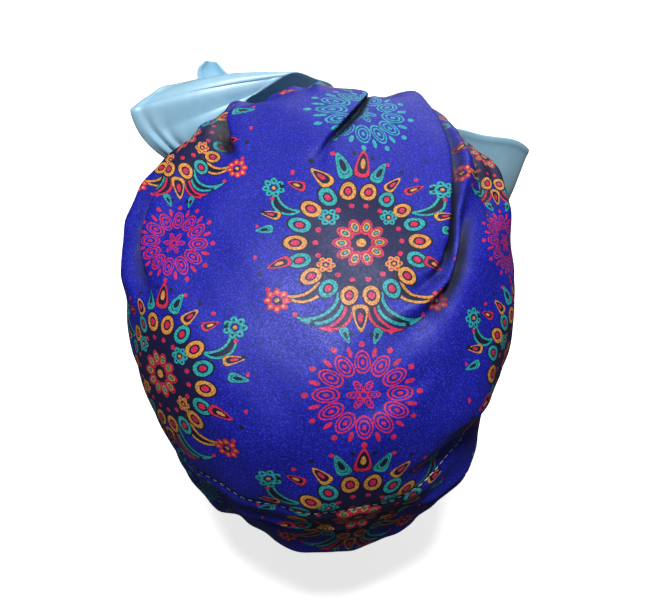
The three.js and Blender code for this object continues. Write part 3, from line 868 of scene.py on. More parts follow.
def sew_wall(name, rows, ways, columns, wall, detail_of, closed_top, materials):
    """A wall of cloth all round the cap: a fine outside and a coarser inside."""
    turn, way = np.meshgrid(turns_of(columns), ways, indexing="ij")
    outside, out, height, base = cap_surface(rows, turn, way, detail_of(way))
    places = print_place(turn, way)
    sewing = Sewing()
    outer = sewing.rows(outside * MM, places)
    sewing.grid(outer, round_=True)
    every = INSIDE_EVERY
    pick = sorted({*range(0, len(ways), every), len(ways) - 1})
    low = least_near(height, every) if closed_top else height
    inside = (base + out * (low - wall)[..., None])[::every][:, pick]
    inner = sewing.rows(inside * MM, places[::every][:, pick])
    sewing.grid(inner, flip=True, round_=True, kind=1)
    count = len(inner)
    edges = [(0, False)] if closed_top else [(0, False), (-1, True)]
    for edge, flip in edges:
        for i in range(count):
            j = (i + 1) % count
            for k in range(every):
                a = outer[(i * every + k) % columns, edge]
                b = outer[(i * every + k + 1) % columns, edge]
                tri = (b, a, inner[i, edge])
                sewing.face(tri[::-1] if flip else tri, 1)
            tri = (inner[j, edge], outer[(i + 1) * every % columns, edge], inner[i, edge])
            sewing.face(tri[::-1] if flip else tri, 1)
    if closed_top:
        top = plain_points(rows, np.zeros((1, 1)), np.full((1, 1), 1e-3))
        top[..., 2] += height[:, -1].mean()
        outer_pole = sewing.rows(top * MM, np.zeros(2))[0, 0]
        top[..., 2] -= wall
        inner_pole = sewing.rows(top * MM, np.zeros(2))[0, 0]
        for i in range(columns):
            sewing.face((outer[i, -1], outer[(i + 1) % columns, -1], outer_pole))
        for i in range(count):
            sewing.face((inner[(i + 1) % count, -1], inner[i, -1], inner_pole), 1)
    return sewing.finish(name, materials)


def strip_rows(stations, steps):
    """Smooth edges and swell of a strip, row by row."""
    a = np.array([row[0] for row in stations], float)
    b = np.array([row[1] for row in stations], float)
    belly = np.array([[row[2]] for row in stations], float)
    line = np.hstack([a, b, belly])
    line = np.vstack([2 * line[0] - line[1], line, 2 * line[-1] - line[-2]])
    s = np.linspace(0, len(stations) - 1, (len(stations) - 1) * steps + 1)
    i = np.minimum(s.astype(int), len(stations) - 2)
    k = (s - i)[:, None]
    rows = curve(line[i], line[i + 1], line[i + 2], line[i + 3], k)
    return rows[:, :3], rows[:, 3:6], rows[:, 6]


def strip_surface(stations, creases, steps, across):
    """Middle surface of a strip of satin, and the way it faces, in mm."""
    a, b, belly = strip_rows(stations, steps)
    middle = (a + b) / 2
    out = unit(np.cross(b - a, np.gradient(middle, axis=0)))
    w = np.linspace(0, 1, across + 1)
    s = np.linspace(0, 1, len(a))
    points = a[:, None] + (b - a)[:, None] * w[None, :, None]
    swell = belly[:, None] * np.sin(math.pi * w)[None, :]
    grid_s, grid_w = np.meshgrid(s, w, indexing="ij")
    sway, fast, apart = CREASE_SWAY
    for at_w, at_s, reach_w, reach_s, deep in creases:
        bend = at_w + sway * np.sin(fast * grid_s + apart * at_w)
        fall = ((grid_w - bend) / reach_w) ** 2 + ((grid_s - at_s) / reach_s) ** 2
        swell = swell + deep * np.exp(-fall)
    high, fast, slant = RIPPLE
    ripple = high * np.sin(fast * grid_s + slant * grid_w)
    swell = swell + ripple * np.sin(math.pi * grid_w)
    points = points + out[:, None] * swell[..., None]
    along_s = np.gradient(points, axis=0)
    along_w = np.gradient(points, axis=1)
    return points, unit(np.cross(along_w, along_s)), grid_s, grid_w


def sew_strip(name, stations, creases, settings, material):
    """A strip of satin with its two faces, its hemmed edges and its ends."""
    points, out, grid_s, grid_w = strip_surface(
        stations, creases, settings.steps, settings.across)
    points = points + np.array([0, 0, RIM_Z])
    edge = np.minimum(grid_w, 1 - grid_w)
    wide = np.linalg.norm(points[:, 0] - points[:, -1], axis=-1).mean()
    hem = bump_at(edge * wide, *SATIN_HEM)
    half = (settings.wall / MM) / 2 + hem
    run = np.linalg.norm(np.diff(points, axis=0), axis=-1).mean(axis=1)
    along = np.concatenate([[0], np.cumsum(run)])
    places = np.stack([grid_w * wide, np.broadcast_to(along[:, None], grid_w.shape)], -1) * MM
    sewing = Sewing()
    top = sewing.rows((points + out * half[..., None]) * MM, places)
    under = sewing.rows((points - out * half[..., None]) * MM, places)
    sewing.grid(top, flip=True)
    sewing.grid(under)
    rows, columns = top.shape
    for i in range(rows - 1):
        sewing.face((under[i, 0], top[i, 0], top[i + 1, 0], under[i + 1, 0]))
        sewing.face((top[i, -1], under[i, -1], under[i + 1, -1], top[i + 1, -1]))
    for k in range(columns - 1):
        sewing.face((under[0, k], under[0, k + 1], top[0, k + 1], top[0, k]))
        sewing.face((top[-1, k], top[-1, k + 1], under[-1, k + 1], under[-1, k]))
    return sewing.finish(name, [material]), wide * MM, along[-1] * MM


def lead_stations(side):
    """Stations of a lead, from the band to the knot."""
    turn = np.full((1, 2), math.pi / 2 - side * LEAD_TURN)
    way = np.array([LEAD_WAYS], float)
    surface, _, _, _ = cap_surface(BAND, turn, way, 0)
    start = surface[0] - np.array([0, 0, RIM_Z])
    start = start + np.array([math.cos(turn[0, 0]), math.sin(turn[0, 0]), 0]) * LEAD_OFF
    knot = np.array([[side * SIDE, LEAD_BACK, LEAD_TOP], [side * SIDE, LEAD_BACK, LEAD_LOW]])
    goal = np.array([side * LEAD_ACROSS, LEAD_BACK, 0]) + start * (0, 0, 1)
    half = mix(start, goal, LEAD_HALF) + (0, LEAD_SWELL, 0)
    return (
        (start[0], start[1], 0.0),
        (half[0], half[1], LEAD_BELLY),
        (knot[0], knot[1], 0.0),
    )


def wrap_knot(name, material):
    """The knot: satin wrapped round, with its creases running round it."""
    tilt = (np.arange(1, KNOT_RINGS) / KNOT_RINGS - 0.5) * math.pi
    turn = np.arange(KNOT_COLUMNS) * 2 * math.pi / KNOT_COLUMNS
    turn, tilt = np.meshgrid(turn, tilt, indexing="ij")
    power = 2 / KNOT["power"]

    def bend(v):
        return np.sign(v) * np.abs(v) ** power

    close, sway, sways, start = KNOT_GREAT
    ridge = np.sin(tilt * close + sway * np.sin(turn * sways + start))
    close, slant, share = KNOT_SMALL
    ridge += share * np.sin(tilt * close + slant * turn)
    grow = 1 + KNOT_CREASE * ridge * np.cos(tilt)
    x = KNOT["wide"] * bend(np.sin(tilt))
    y = KNOT["deep"] * bend(np.cos(tilt)) * bend(np.cos(turn)) * grow
    z = KNOT["tall"] * bend(np.cos(tilt)) * bend(np.sin(turn)) * grow
    points = np.stack([x, y + KNOT["y"], z + KNOT["z"] + RIM_Z], -1)
    sewing = Sewing()
    body = sewing.rows(points * MM, np.stack([turn, tilt], -1) * KNOT_PLACE)
    sewing.grid(body, round_=True)
    for k, side in ((0, -1), (-1, 1)):
        pole = np.array([[[side * KNOT["wide"], KNOT["y"], KNOT["z"] + RIM_Z]]])
        number = sewing.rows(pole * MM, np.zeros(2))[0, 0]
        for i in range(KNOT_COLUMNS):
            tri = (body[i, k], body[(i + 1) % KNOT_COLUMNS, k], number)
            sewing.face(tri if side > 0 else tri[::-1])
    return sewing.finish(name, [material])


def sew_stitches(name, settings, material):
    """The line of topstitches round the crown, one small rounded stitch after another."""
    way = settings.hem_way / MM
    turn = np.linspace(0, 2 * math.pi, LINE_CORNERS, endpoint=False)[:, None]
    line, _, _, _ = cap_surface(CROWN, turn, np.full_like(turn, way), hem_profile(way, way))
    near, _, _, _ = cap_surface(CROWN, turn, np.full_like(turn, way - LINE_UP), 0)
    line = line[:, 0]
    ahead = unit(np.roll(line, -1, 0) - np.roll(line, 1, 0))
    up = unit(near[:, 0] - line)
    out = unit(np.cross(ahead, up))
    steps = np.linalg.norm(np.diff(line, axis=0), axis=1)
    along = np.concatenate([[0], np.cumsum(steps)])
    pitch = (settings.stitch + settings.stitch_gap) / MM
    count = int(along[-1] / pitch)
    radius = settings.thread / MM / 2
    sewing = Sewing()
    for n in range(count):
        rings = []
        for share, thick in STITCH_RINGS:
            here = (n + STITCH_START) * along[-1] / count + share * settings.stitch / MM
            i = int(np.searchsorted(along, here)) % len(line)
            arch = STITCH_ARCH * math.sin(math.pi * share) - STITCH_SUNK
            middle = line[i] + out[i] * (radius * arch)
            ring = []
            for side in range(STITCH_SIDES):
                a = 2 * math.pi * side / STITCH_SIDES
                reach = out[i] * math.cos(a) + up[i] * math.sin(a)
                ring.append(middle + radius * thick * reach)
            rings.append(ring)
        numbers = sewing.rows(np.array(rings) * MM, np.zeros(2))
        for k in range(len(STITCH_RINGS) - 1):
            for side in range(STITCH_SIDES):
                after = (side + 1) % STITCH_SIDES
                sewing.face((
                    numbers[k, side], numbers[k + 1, side],
                    numbers[k + 1, after], numbers[k, after]))
        sewing.face(tuple(numbers[0]))
        sewing.face(tuple(numbers[-1][::-1]))
    return sewing.finish(name, [material])


class Shader:
    """Adds nodes to a material, one call for each."""

    def __init__(self, name):
        self.material = bpy.data.materials.new(name)
        self.material.use_nodes = True
        self.tree = self.material.node_tree
        self.tree.nodes.clear()
        output = self.add("ShaderNodeOutputMaterial")
        self.surface = self.add("ShaderNodeBsdfPrincipled")
        self.link(self.surface.outputs[0], output.inputs["Surface"])

    def add(self, kind, **options):
        """Adds a node with its options."""
        node = self.tree.nodes.new(kind)
        for name, value in options.items():
            setattr(node, name, value)
        return node

    def link(self, source, socket):
        """Joins two sockets."""
        self.tree.links.new(source, socket)

    def fill(self, socket, value):
        """Links a socket, or sets its value where no socket is given."""
        if isinstance(value, bpy.types.NodeSocket):
            self.link(value, socket)
        else:
            socket.default_value = value

    def give(self, **values):
        """Sets what the surface takes, named as its sockets with _ for a space."""
        for name, value in values.items():
            self.fill(self.surface.inputs[name.replace("_", " ")], value)

    def math(self, operation, *values):
        """One step of arithmetic."""
        node = self.add("ShaderNodeMath", operation=operation)
        for socket, value in zip(node.inputs, values):
            self.fill(socket, value)
        return node.outputs[0]

    def parts(self, vector):
        """The first two coordinates of a place."""
        node = self.add("ShaderNodeSeparateXYZ")
        self.link(vector, node.inputs[0])
        return node.outputs[0], node.outputs[1]

    def pair(self, x, y):
        """A place from two coordinates."""
        node = self.add("ShaderNodeCombineXYZ")
        self.fill(node.inputs[0], x)
        self.fill(node.inputs[1], y)
        return node.outputs[0]

    def placed(self, vector, x, y, turn, wide, long):
        """Own coordinates of a motif of that place, turn and half sizes."""
        node = self.add("ShaderNodeMapping", vector_type="TEXTURE")
        self.link(vector, node.inputs["Vector"])
        node.inputs["Location"].default_value = (x, y, 0)
        node.inputs["Rotation"].default_value = (0, 0, math.radians(turn))
        node.inputs["Scale"].default_value = (wide, long, 1)
        return node.outputs[0]

    def size(self, vector):
        """Distance of a place from the middle."""
        node = self.add("ShaderNodeVectorMath", operation="LENGTH")
        self.link(vector, node.inputs[0])
        return node.outputs["Value"]

    def bands(self, value, stops):
        """Sharp bands of colour. Each stop is a start, a colour and its cover."""
        node = self.add("ShaderNodeValToRGB")
        ramp = node.color_ramp
        ramp.interpolation = "CONSTANT"
        while len(ramp.elements) < len(stops):
            ramp.elements.new(0.5)
        for element, (start, colour, cover) in zip(ramp.elements, stops):
            element.position = start
            element.color = (*colour, cover)
        self.link(value, node.inputs[0])
        return node.outputs["Color"], node.outputs["Alpha"]

    def oval(self, vector, x, y, wide, long):
        """Distance from the middle of an oval, which is 1 at its edge."""
        return self.size(self.placed(vector, x, y, 0, wide, long))

    def ink(self, under, colour, value, starts):
        """One colour laid over another. Each start has the cover from there on."""
        stops = [(start, (0, 0, 0), cover) for start, cover in starts]
        return self.over(under, colour, self.bands(value, stops)[1])

    def over(self, under, colour, cover):
        """One colour laid over another where it covers it."""
        node = self.add("ShaderNodeMix", data_type="RGBA")
        self.fill(node.inputs[0], cover)
        self.fill(node.inputs[6], (*under, 1) if isinstance(under, tuple) else under)
        self.fill(node.inputs[7], (*colour, 1) if isinstance(colour, tuple) else colour)
        return node.outputs[2]

    def noise(self, vector, scale, detail, rough):
        """Cloudy pattern from 0 to 1."""
        node = self.add("ShaderNodeTexNoise")
        self.link(vector, node.inputs["Vector"])
        node.inputs["Scale"].default_value = scale
        node.inputs["Detail"].default_value = detail
        node.inputs["Roughness"].default_value = rough
        return node.outputs["Fac"]

    def bump(self, height, strength, distance, under=None):
        """Fine relief, with that height in metres, over the relief that lies under it."""
        node = self.add("ShaderNodeBump")
        node.inputs["Strength"].default_value = strength
        node.inputs["Distance"].default_value = distance
        self.link(height, node.inputs["Height"])
        if under is not None:
            self.link(under, node.inputs["Normal"])
        return node.outputs[0]

    def spread(self, value, low, high, to_low, to_high):
        """A value spread evenly from one span to another, and held at its ends."""
        node = self.add("ShaderNodeMapRange")
        self.link(value, node.inputs["Value"])
        for name, number in (
                ("From Min", low), ("From Max", high), ("To Min", to_low), ("To Max", to_high)):
            node.inputs[name].default_value = number
        return node.outputs[0]

    def cloth_places(self):
        """Places on the flat cloth."""
        node = self.add("ShaderNodeUVMap", uv_map="Cloth")
        return node.outputs[0]

    def object_places(self):
        """Places in the piece's own frame."""
        return self.add("ShaderNodeTexCoord").outputs["Object"]


# The print repeats in columns, every other one half a step on. In mm: width of
# a column, step along it, and shift of the whole print across and along
COLUMN = 98.0
ROW = 158.0
PRINT_SHIFT = (-18.0, 26.0)

# The big posy, in mm from its middle: its right half, which the left half mirrors.
# Drops: x, y, turn, half width, half length, and the colours
DROPS = (
    (0, 45, 0, 4.2, 8.0, "red_drop"),
    (9.5, 42, -22, 3.6, 7.0, "teal_drop"),
    (18, 36, -40, 3.2, 6.2, "orange_drop"),
    (0, -41, 180, 4.0, 7.5, "orange_drop"),
    (29, 33, -62, 2.6, 5.0, "red_drop"),
    (42, 16, -75, 2.6, 5.6, "orange_drop"),
    (44.5, 7, -100, 2.4, 5.0, "teal_drop"),
    (37, -12, -115, 3.0, 6.4, "red_drop"),
    (7, -50, 160, 2.2, 4.4, "teal_drop"),
)
# Plumes, each one disc less another: middle and size of the disc, then the
# middle and size of the one that is taken away
PLUMES = (
    (20, -32, 13.5, 24.5, -27.5, 13.2, "teal"),
    (27, -22, 12.0, 31.5, -16.5, 12.4, "orange"),
    (14, -37, 11.5, 19.5, -34.0, 11.8, "red"),
    (33, 25, 10.0, 28.0, 29.5, 10.4, "teal"),
)
# Small round flowers: x, y, size, number of petals, and colours
FLOWERS = (
    (14.6, 14.0, 5.0, 6, "teal_flower"),
    (15.8, -12.4, 4.6, 6, "orange_flower"),
    (38.0, -32.0, 6.6, 8, "red_flower"),
    (41.0, 33.0, 6.2, 7, "teal_flower"),
    (0.0, 0.0, 13.5, 10, "great_flower"),
)
# Its rings: number of motifs, distance out, half length and half width. There are
# as many beads as scallops, and a dark ground under them reaches out to its size
SCALLOPS = (18, 29.5, 6.6, 5.0)
SCALLOP_GROUND = 29.0
BEADS = (20.5, 1.35, 1.35)
SPRAY = (34, 49.5, 1.15, 1.15)
# Rings of the lace: number of petals, their turn in petals, distance out, half
# length and half width, and where from the middle of each the ink starts and ends
LACE = (
    (12, 0.0, 16.0, 6.0, 3.7, ((0.0, 1), (0.22, 0), (0.5, 1), (0.66, 0), (0.84, 1), (1.0, 0))),
    (12, 0.0, 25.0, 1.5, 1.3, ((0.0, 1), (1.0, 0))),
    (12, 0.5, 21.5, 2.6, 1.0, ((0.0, 1), (1.0, 0))),
    (6, 0.0, 4.4, 3.2, 1.7, ((0.0, 0), (0.3, 1), (0.5, 0), (0.72, 1), (1.0, 0))),
)
LACE_HEART = ((0.0, 0), (8.6 / 30, 1), (9.4 / 30, 0), (10.2 / 30, 1), (10.9 / 30, 0))
# Ink of a whole motif, from its middle to its edge
WHOLE = ((0.0, 1), (1.0, 0))


def ink_styles(colours):
    """Bands of each kind of motif, from its middle out."""
    red, teal, orange, dark = (tuple(c) for c in colours)
    bare = (1.0, dark, 0)

    def outlined(inner, middle, outer):
        return (
            (0.0, inner, 1), (0.34, dark, 1), (0.44, middle, 1), (0.62, dark, 1),
            (0.68, outer, 1), (0.93, dark, 1), bare)

    return {
        "red_drop": outlined(orange, dark, red),
        "teal_drop": outlined(dark, teal, teal),
        "orange_drop": outlined(red, dark, orange),
        "red_flower": ((0.0, orange, 1), (0.4, red, 1), (0.9, dark, 1), bare),
        "teal_flower": ((0.0, dark, 1), (0.3, teal, 1), (0.9, dark, 1), bare),
        "orange_flower": ((0.0, red, 1), (0.4, orange, 1), (0.9, dark, 1), bare),
        "great_flower": (
            (0.0, teal, 1), (0.22, dark, 1), (0.34, orange, 1), (0.58, dark, 1),
            (0.66, red, 1), (0.93, dark, 1), bare),
        "red": red, "teal": teal, "orange": orange, "dark": dark,
    }


def repeated(shader, value, step):
    """Nearest number of a repeat, and the value counted from it."""
    number = shader.math("FLOOR", shader.math("MULTIPLY_ADD", value, 1 / step, 0.5))
    return number, shader.math("MULTIPLY_ADD", number, -step, value)


def petals(shader, spot, count, turn=0.0):
    """Coordinates of the nearest of a ring of petals: out from the ring's middle,
    and sideways, with the number of the petal."""
    x, y = shader.parts(spot)
    angle = shader.math("ARCTAN2", y, x)
    share = shader.math("MULTIPLY_ADD", angle, count / (2 * math.pi), 0.5 + turn)
    number = shader.math("FLOOR", share)
    off = shader.math("SUBTRACT", shader.math("SUBTRACT", share, number), 0.5)
    out = shader.size(spot)
    side = shader.math("MULTIPLY", shader.math("MULTIPLY", off, 2 * math.pi / count), out)
    return shader.pair(out, side), number


# How much a drop narrows to its outer end, and how much in its middle
DROP_TAPER = (0.75, 1.2)
# Where a plume's colour starts, from its dark middle out, and where its rim does
PLUME_COLOUR = 0.84
PLUME_RIM = 0.955
# Petals of a small flower, as shares of its size: distance out, half length, and
# half width of all its petals together
PETAL = (0.66, 0.34, 2.295)


def draw_drop(shader, under, spot, row, styles):
    """A drop, narrower at its outer end."""
    x, y, turn, wide, long, style = row
    own = shader.placed(spot, x, y, turn, wide, long)
    across, along = shader.parts(own)
    taper = shader.math("MULTIPLY", across, shader.math("MULTIPLY_ADD", along, *DROP_TAPER))
    colour, cover = shader.bands(shader.size(shader.pair(taper, along)), styles[style])
    return shader.over(under, colour, cover)


def draw_plume(shader, under, spot, row, styles):
    """A curved plume with an outline."""
    x, y, size, cut_x, cut_y, cut_size, style = row
    disc = shader.oval(spot, x, y, size, size)
    cut = shader.oval(spot, cut_x, cut_y, cut_size, cut_size)
    depth = shader.math("MAXIMUM", disc, shader.math("SUBTRACT", 2.0, cut))
    colour, cover = shader.bands(depth, (
        (0.0, styles["dark"], 1), (PLUME_COLOUR, styles[style], 1),
        (PLUME_RIM, styles["dark"], 1), (1.0, styles["dark"], 0)))
    return shader.over(under, colour, cover)


def draw_flower(shader, under, spot, row, styles):
    """A small round flower with its core."""
    x, y, size, count, style = row
    own = shader.placed(spot, x, y, 0, size, size)
    petal, _ = petals(shader, own, count)
    far, long, wide = PETAL
    leaf = shader.oval(petal, far, 0, long, wide / count)
    colour, cover = shader.bands(leaf, styles[style])
    under = shader.over(under, colour, cover)
    core, cover = shader.bands(shader.size(own), (
        (0.0, styles["orange"], 1), (0.17, styles["dark"], 1), (0.25, styles["dark"], 0)))
    return shader.over(under, core, cover)


def draw_posy(shader, under, spot, styles):
    """The big motif: a flower in a wreath of petals, with plumes, drops and buds."""
    x, y = shader.parts(spot)
    spot = shader.pair(shader.math("ABSOLUTE", x), y)
    red, teal, orange, dark = (styles[name] for name in ("red", "teal", "orange", "dark"))
    for row in PLUMES:
        under = draw_plume(shader, under, spot, row, styles)
    count, far, long, wide = SCALLOPS
    scallop, number = petals(shader, spot, count)
    out, _ = shader.parts(scallop)
    ground = shader.math("MULTIPLY", out, 1 / SCALLOP_GROUND)
    under = shader.ink(under, dark, ground, ((0.0, 0.93), (1.0, 0)))
    leaf = shader.oval(scallop, far, 0, long, wide)
    bright = shader.over(orange, teal, shader.math("PINGPONG", number, 1.0))
    under = shader.ink(under, dark, leaf, ((0.0, 1), (0.97, 0)))
    under = shader.ink(under, bright, leaf, ((0.0, 0), (0.46, 1), (0.8, 0)))
    under = shader.ink(under, red, leaf, ((0.0, 1), (0.3, 0)))
    far, long, wide = BEADS
    under = shader.ink(under, red, shader.oval(scallop, far, 0, long, wide), WHOLE)
    for row in FLOWERS:
        under = draw_flower(shader, under, spot, row, styles)
    for row in DROPS:
        under = draw_drop(shader, under, spot, row, styles)
    count, far, long, wide = SPRAY
    spray, number = petals(shader, spot, count)
    bright = shader.over(dark, red, shader.math("PINGPONG", number, 1.0))
    return shader.ink(under, bright, shader.oval(spray, far, 0, long, wide), WHOLE)


def draw_lace(shader, under, spot, colour):
    """The small motif, in one colour: a rose window of petals round a star."""
    for count, turn, far, long, wide, starts in LACE:
        petal, _ = petals(shader, spot, count, turn)
        under = shader.ink(under, colour, shader.oval(petal, far, 0, long, wide), starts)
    return shader.ink(under, colour, shader.size(spot), LACE_HEART)


def print_colour(shader, ground, styles):
    """Colour of the printed cloth at each place of it."""
    node = shader.add("ShaderNodeMapping", vector_type="POINT")
    shader.link(shader.cloth_places(), node.inputs["Vector"])
    node.inputs["Location"].default_value = (*PRINT_SHIFT, 0)
    node.inputs["Scale"].default_value = (1 / MM, 1 / MM, 1)
    x, y = shader.parts(node.outputs[0])
    column, x = repeated(shader, x, COLUMN)
    odd = shader.math("PINGPONG", column, 1.0)
    y = shader.math("MULTIPLY_ADD", odd, ROW / 2, y)
    _, posy_y = repeated(shader, y, ROW)
    row, lace_y = repeated(shader, shader.math("ADD", y, ROW / 2), ROW)
    colour = draw_posy(shader, ground, shader.pair(x, posy_y), styles)
    turn = shader.math("PINGPONG", shader.math("ADD", column, row), 1.0)
    lace = shader.over(styles["red"], styles["teal"], turn)
    return draw_lace(shader, colour, shader.pair(x, lace_y), lace)


# Paler side of the cloth: its colour, and how far that covers the blue
BACK_COLOUR = (0.42, 0.46, 0.66)
BACK_COVER = 0.55
# How far off the cloth looks for other cloth, for the painted shade that darkens its creases and
# hollows, in m
PAINTED_SHADE_REACH = 0.018


def cap_material(settings, printed):
    """Satin-faced cloth with the print and with painted shade in its creases, or its paler plain
    back.
    """
    shader = Shader("printed_cloth" if printed else "printed_cloth_back")
    colours = (settings.red, settings.teal, settings.orange, settings.dark)
    styles = ink_styles(colours)
    place = shader.object_places()
    grain = shader.noise(place, scale=1250.0, detail=2.0, rough=0.7)
    ground = tuple(settings.ground)
    if printed:
        fleck = shader.spread(grain, low=0.52, high=0.70, to_low=0.0, to_high=0.38)
        pale = tuple(settings.fleck)
        colour = print_colour(shader, shader.over(ground, pale, fleck), styles)
    else:
        colour = shader.over(ground, BACK_COLOUR, BACK_COVER)
    # Grain tone of the cloth; on the printed side it is then darkened further by painted shade in
    # the creases
    grain_and_painted_shade = shader.spread(grain, low=0.34, high=0.66, to_low=0.35, to_high=1.3)
    if printed:
        # Painted shade: the colour is darkened where other cloth lies close, in the creases and
        # hollows of the folds
        painted_crease_shade = shader.add("ShaderNodeAmbientOcclusion", samples=8, only_local=True)
        painted_crease_shade.inputs["Distance"].default_value = PAINTED_SHADE_REACH
        painted_shade_factor = shader.spread(
            painted_crease_shade.outputs["AO"], low=0.62, high=0.93, to_low=0.02, to_high=1.0)
        grain_and_painted_shade = shader.math("MULTIPLY", grain_and_painted_shade, painted_shade_factor)
    node = shader.add("ShaderNodeMix", data_type="RGBA", blend_type="MULTIPLY")
    node.inputs[0].default_value = 1.0
    shader.link(colour, node.inputs[6])
    shader.link(grain_and_painted_shade, node.inputs[7])
    fine = shader.bump(grain, strength=0.35, distance=0.00012)
    broad = shader.noise(place, scale=90.0, detail=3.0, rough=0.55)
    shader.give(
        Base_Color=node.outputs[2],
        Roughness=shader.spread(grain, low=0.3, high=0.7, to_low=0.66, to_high=0.50),
        Specular_IOR_Level=1.0,
        Specular_Tint=(0.6, 0.66, 1.0, 1),
        Normal=shader.bump(broad, strength=0.25, distance=0.0012, under=fine))
    return shader.material


# Satin: how far its grain is drawn out along it, and how much of the red, green
# and blue is left where it is deeper
GRAIN_LONG = 0.06
SATIN_DEEPER = (0.72, 0.84, 0.9)
# How much of its colour the thread and the floor keep where they are deeper
THREAD_DEEPER = 0.7
FLOOR_DEEPER = 0.985
THREAD_TWIST = 900.0


def satin_material(settings):
    """Smooth pale satin with a fine lengthwise grain."""
    shader = Shader("pale_satin")
    place = shader.cloth_places()
    node = shader.add("ShaderNodeMapping")
    shader.link(place, node.inputs["Vector"])
    node.inputs["Scale"].default_value = (1.0, GRAIN_LONG, 1)
    thread = shader.noise(node.outputs[0], scale=2600.0, detail=2.0, rough=0.6)
    broad = shader.noise(shader.object_places(), scale=60.0, detail=2.0, rough=0.5)
    pale = tuple(settings.satin)
    deep = tuple(c * k for c, k in zip(pale, SATIN_DEEPER))
    cover = shader.spread(broad, low=0.35, high=0.65, to_low=0.35, to_high=1.0)
    fine = shader.bump(thread, strength=0.2, distance=0.00006)
    shader.give(
        Base_Color=shader.over(deep, pale, cover),
        Roughness=shader.spread(thread, low=0.3, high=0.7, to_low=0.40, to_high=0.52),
        Anisotropic=0.35,
        Sheen_Weight=0.25,
        Specular_IOR_Level=1.0,
        Coat_Weight=1.0,
        Coat_Roughness=0.45,
        Normal=shader.bump(broad, strength=0.3, distance=0.0009, under=fine))
    return shader.material


def thread_material(settings):
    """Twisted white thread."""
    shader = Shader("white_thread")
    twist = shader.add("ShaderNodeTexWave", bands_direction="DIAGONAL")
    shader.link(shader.object_places(), twist.inputs["Vector"])
    twist.inputs["Scale"].default_value = THREAD_TWIST
    pale = tuple(settings.thread_colour)
    deep = tuple(THREAD_DEEPER * c for c in pale)
    shader.give(
        Base_Color=shader.over(deep, pale, twist.outputs["Fac"]),
        Roughness=0.55,
        Normal=shader.bump(twist.outputs["Fac"], strength=0.4, distance=0.0001))
    return shader.material


def floor_material(settings):
    """Plain pale floor with a faint mottle, lit from below as a light table is."""
    shader = Shader("pale_floor")
    mottle = shader.noise(shader.object_places(), scale=6.0, detail=2.0, rough=0.5)
    pale = tuple(settings.floor)
    deep = tuple(FLOOR_DEEPER * c for c in pale)
    shader.give(
        Base_Color=shader.over(deep, pale, mottle),
        Roughness=0.9,
        Emission_Color=(1, 1, 1, 1),
        Emission_Strength=settings.floor_glow)
    return shader.material


def studio_world(settings):
    """A white backdrop all round, which gives the cap only a little light."""
    world = bpy.data.worlds.new("studio")
    world.use_nodes = True
    tree = world.node_tree
    soft = tree.nodes["Background"]
    soft.inputs["Color"].default_value = (1, 1, 1, 1)
    soft.inputs["Strength"].default_value = settings.sky
    white = tree.nodes.new("ShaderNodeBackground")
    white.inputs["Color"].default_value = (1, 1, 1, 1)
    seen = tree.nodes.new("ShaderNodeLightPath")
    blend = tree.nodes.new("ShaderNodeMixShader")
    tree.links.new(seen.outputs["Is Camera Ray"], blend.inputs[0])
    tree.links.new(soft.outputs[0], blend.inputs[1])
    tree.links.new(white.outputs[0], blend.inputs[2])
    tree.links.new(blend.outputs[0], tree.nodes["World Output"].inputs["Surface"])
    return world


def cloth_material(name):
    """A material of the scene by name, made at its first use."""
    found = bpy.data.materials.get(name)
    if found:
        return found
    scene = bpy.context.scene
    if name == "printed_cloth":
        return cap_material(scene.cap_settings, True)
    if name == "printed_cloth_back":
        return cap_material(scene.cap_settings, False)
    return satin_material(scene.sash_settings)


def fit(thing, slot, *nodes):
    """Puts a piece in the frame, in the place of its nodes of the solid model."""
    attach(thing, "root")
    if nodes:
        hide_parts(*nodes)
    return thing


class CAP_OT_sew_crown(bpy.types.Operator):
    """Sew the gathered crown"""
    bl_idname = "cap.sew_crown"
    bl_label = "Sew the crown"

    def execute(self, context):
        settings = context.scene.cap_settings
        hem = settings.hem_way / MM
        crown = sew_wall(
            "crown_cloth", CROWN, ways_of(CROWN_SPANS), settings.columns, settings.wall / MM,
            lambda way: hem_profile(way, hem), True,
            [cloth_material("printed_cloth"), cloth_material("printed_cloth_back")])
        fit(crown, "cap_cloth", "crown")
        return {"FINISHED"}


class CAP_OT_sew_band(bpy.types.Operator):
    """Sew the band round the rim"""
    bl_idname = "cap.sew_band"
    bl_label = "Sew the band"

    def execute(self, context):
        settings = context.scene.cap_settings
        band = sew_wall(
            "band_cloth", BAND, ways_of(BAND_SPANS), settings.columns, BAND_WALL,
            band_profile, False,
            [cloth_material("printed_cloth"), cloth_material("printed_cloth_back")])
        fit(band, "cap_cloth", "band")
        return {"FINISHED"}


class CAP_OT_stitch_hem(bpy.types.Operator):
    """Stitch the white line round the crown"""
    bl_idname = "cap.stitch_hem"
    bl_label = "Stitch the hem"

    def execute(self, context):
        settings = context.scene.cap_settings
        line = sew_stitches("hem_stitches", settings, thread_material(settings))
        fit(line, "cap_cloth")
        return {"FINISHED"}


class CAP_OT_tie_knot(bpy.types.Operator):
    """Wrap the knot of the sash"""
    bl_idname = "cap.tie_knot"
    bl_label = "Tie the knot"

    def execute(self, context):
        fit(wrap_knot("sash_knot_wrap", cloth_material("pale_satin")), "sash_satin", "sash_knot")
        return {"FINISHED"}


class CAP_OT_tie_sash(bpy.types.Operator):
    """Tie the leads, loops and tails of the sash"""
    bl_idname = "cap.tie_sash"
    bl_label = "Tie the sash"

    def execute(self, context):
        settings = context.scene.sash_settings
        strips = dict(STRIPS)
        strips["sash_lead_left"] = lead_stations(-1)
        strips["sash_lead_right"] = lead_stations(1)
        for node, stations in strips.items():
            satin = cloth_material("pale_satin")
            strip, wide, long = sew_strip(
                node + "_satin", stations, CREASES[node], settings, satin)
            fit(strip, "sash_satin", node)
        return {"FINISHED"}


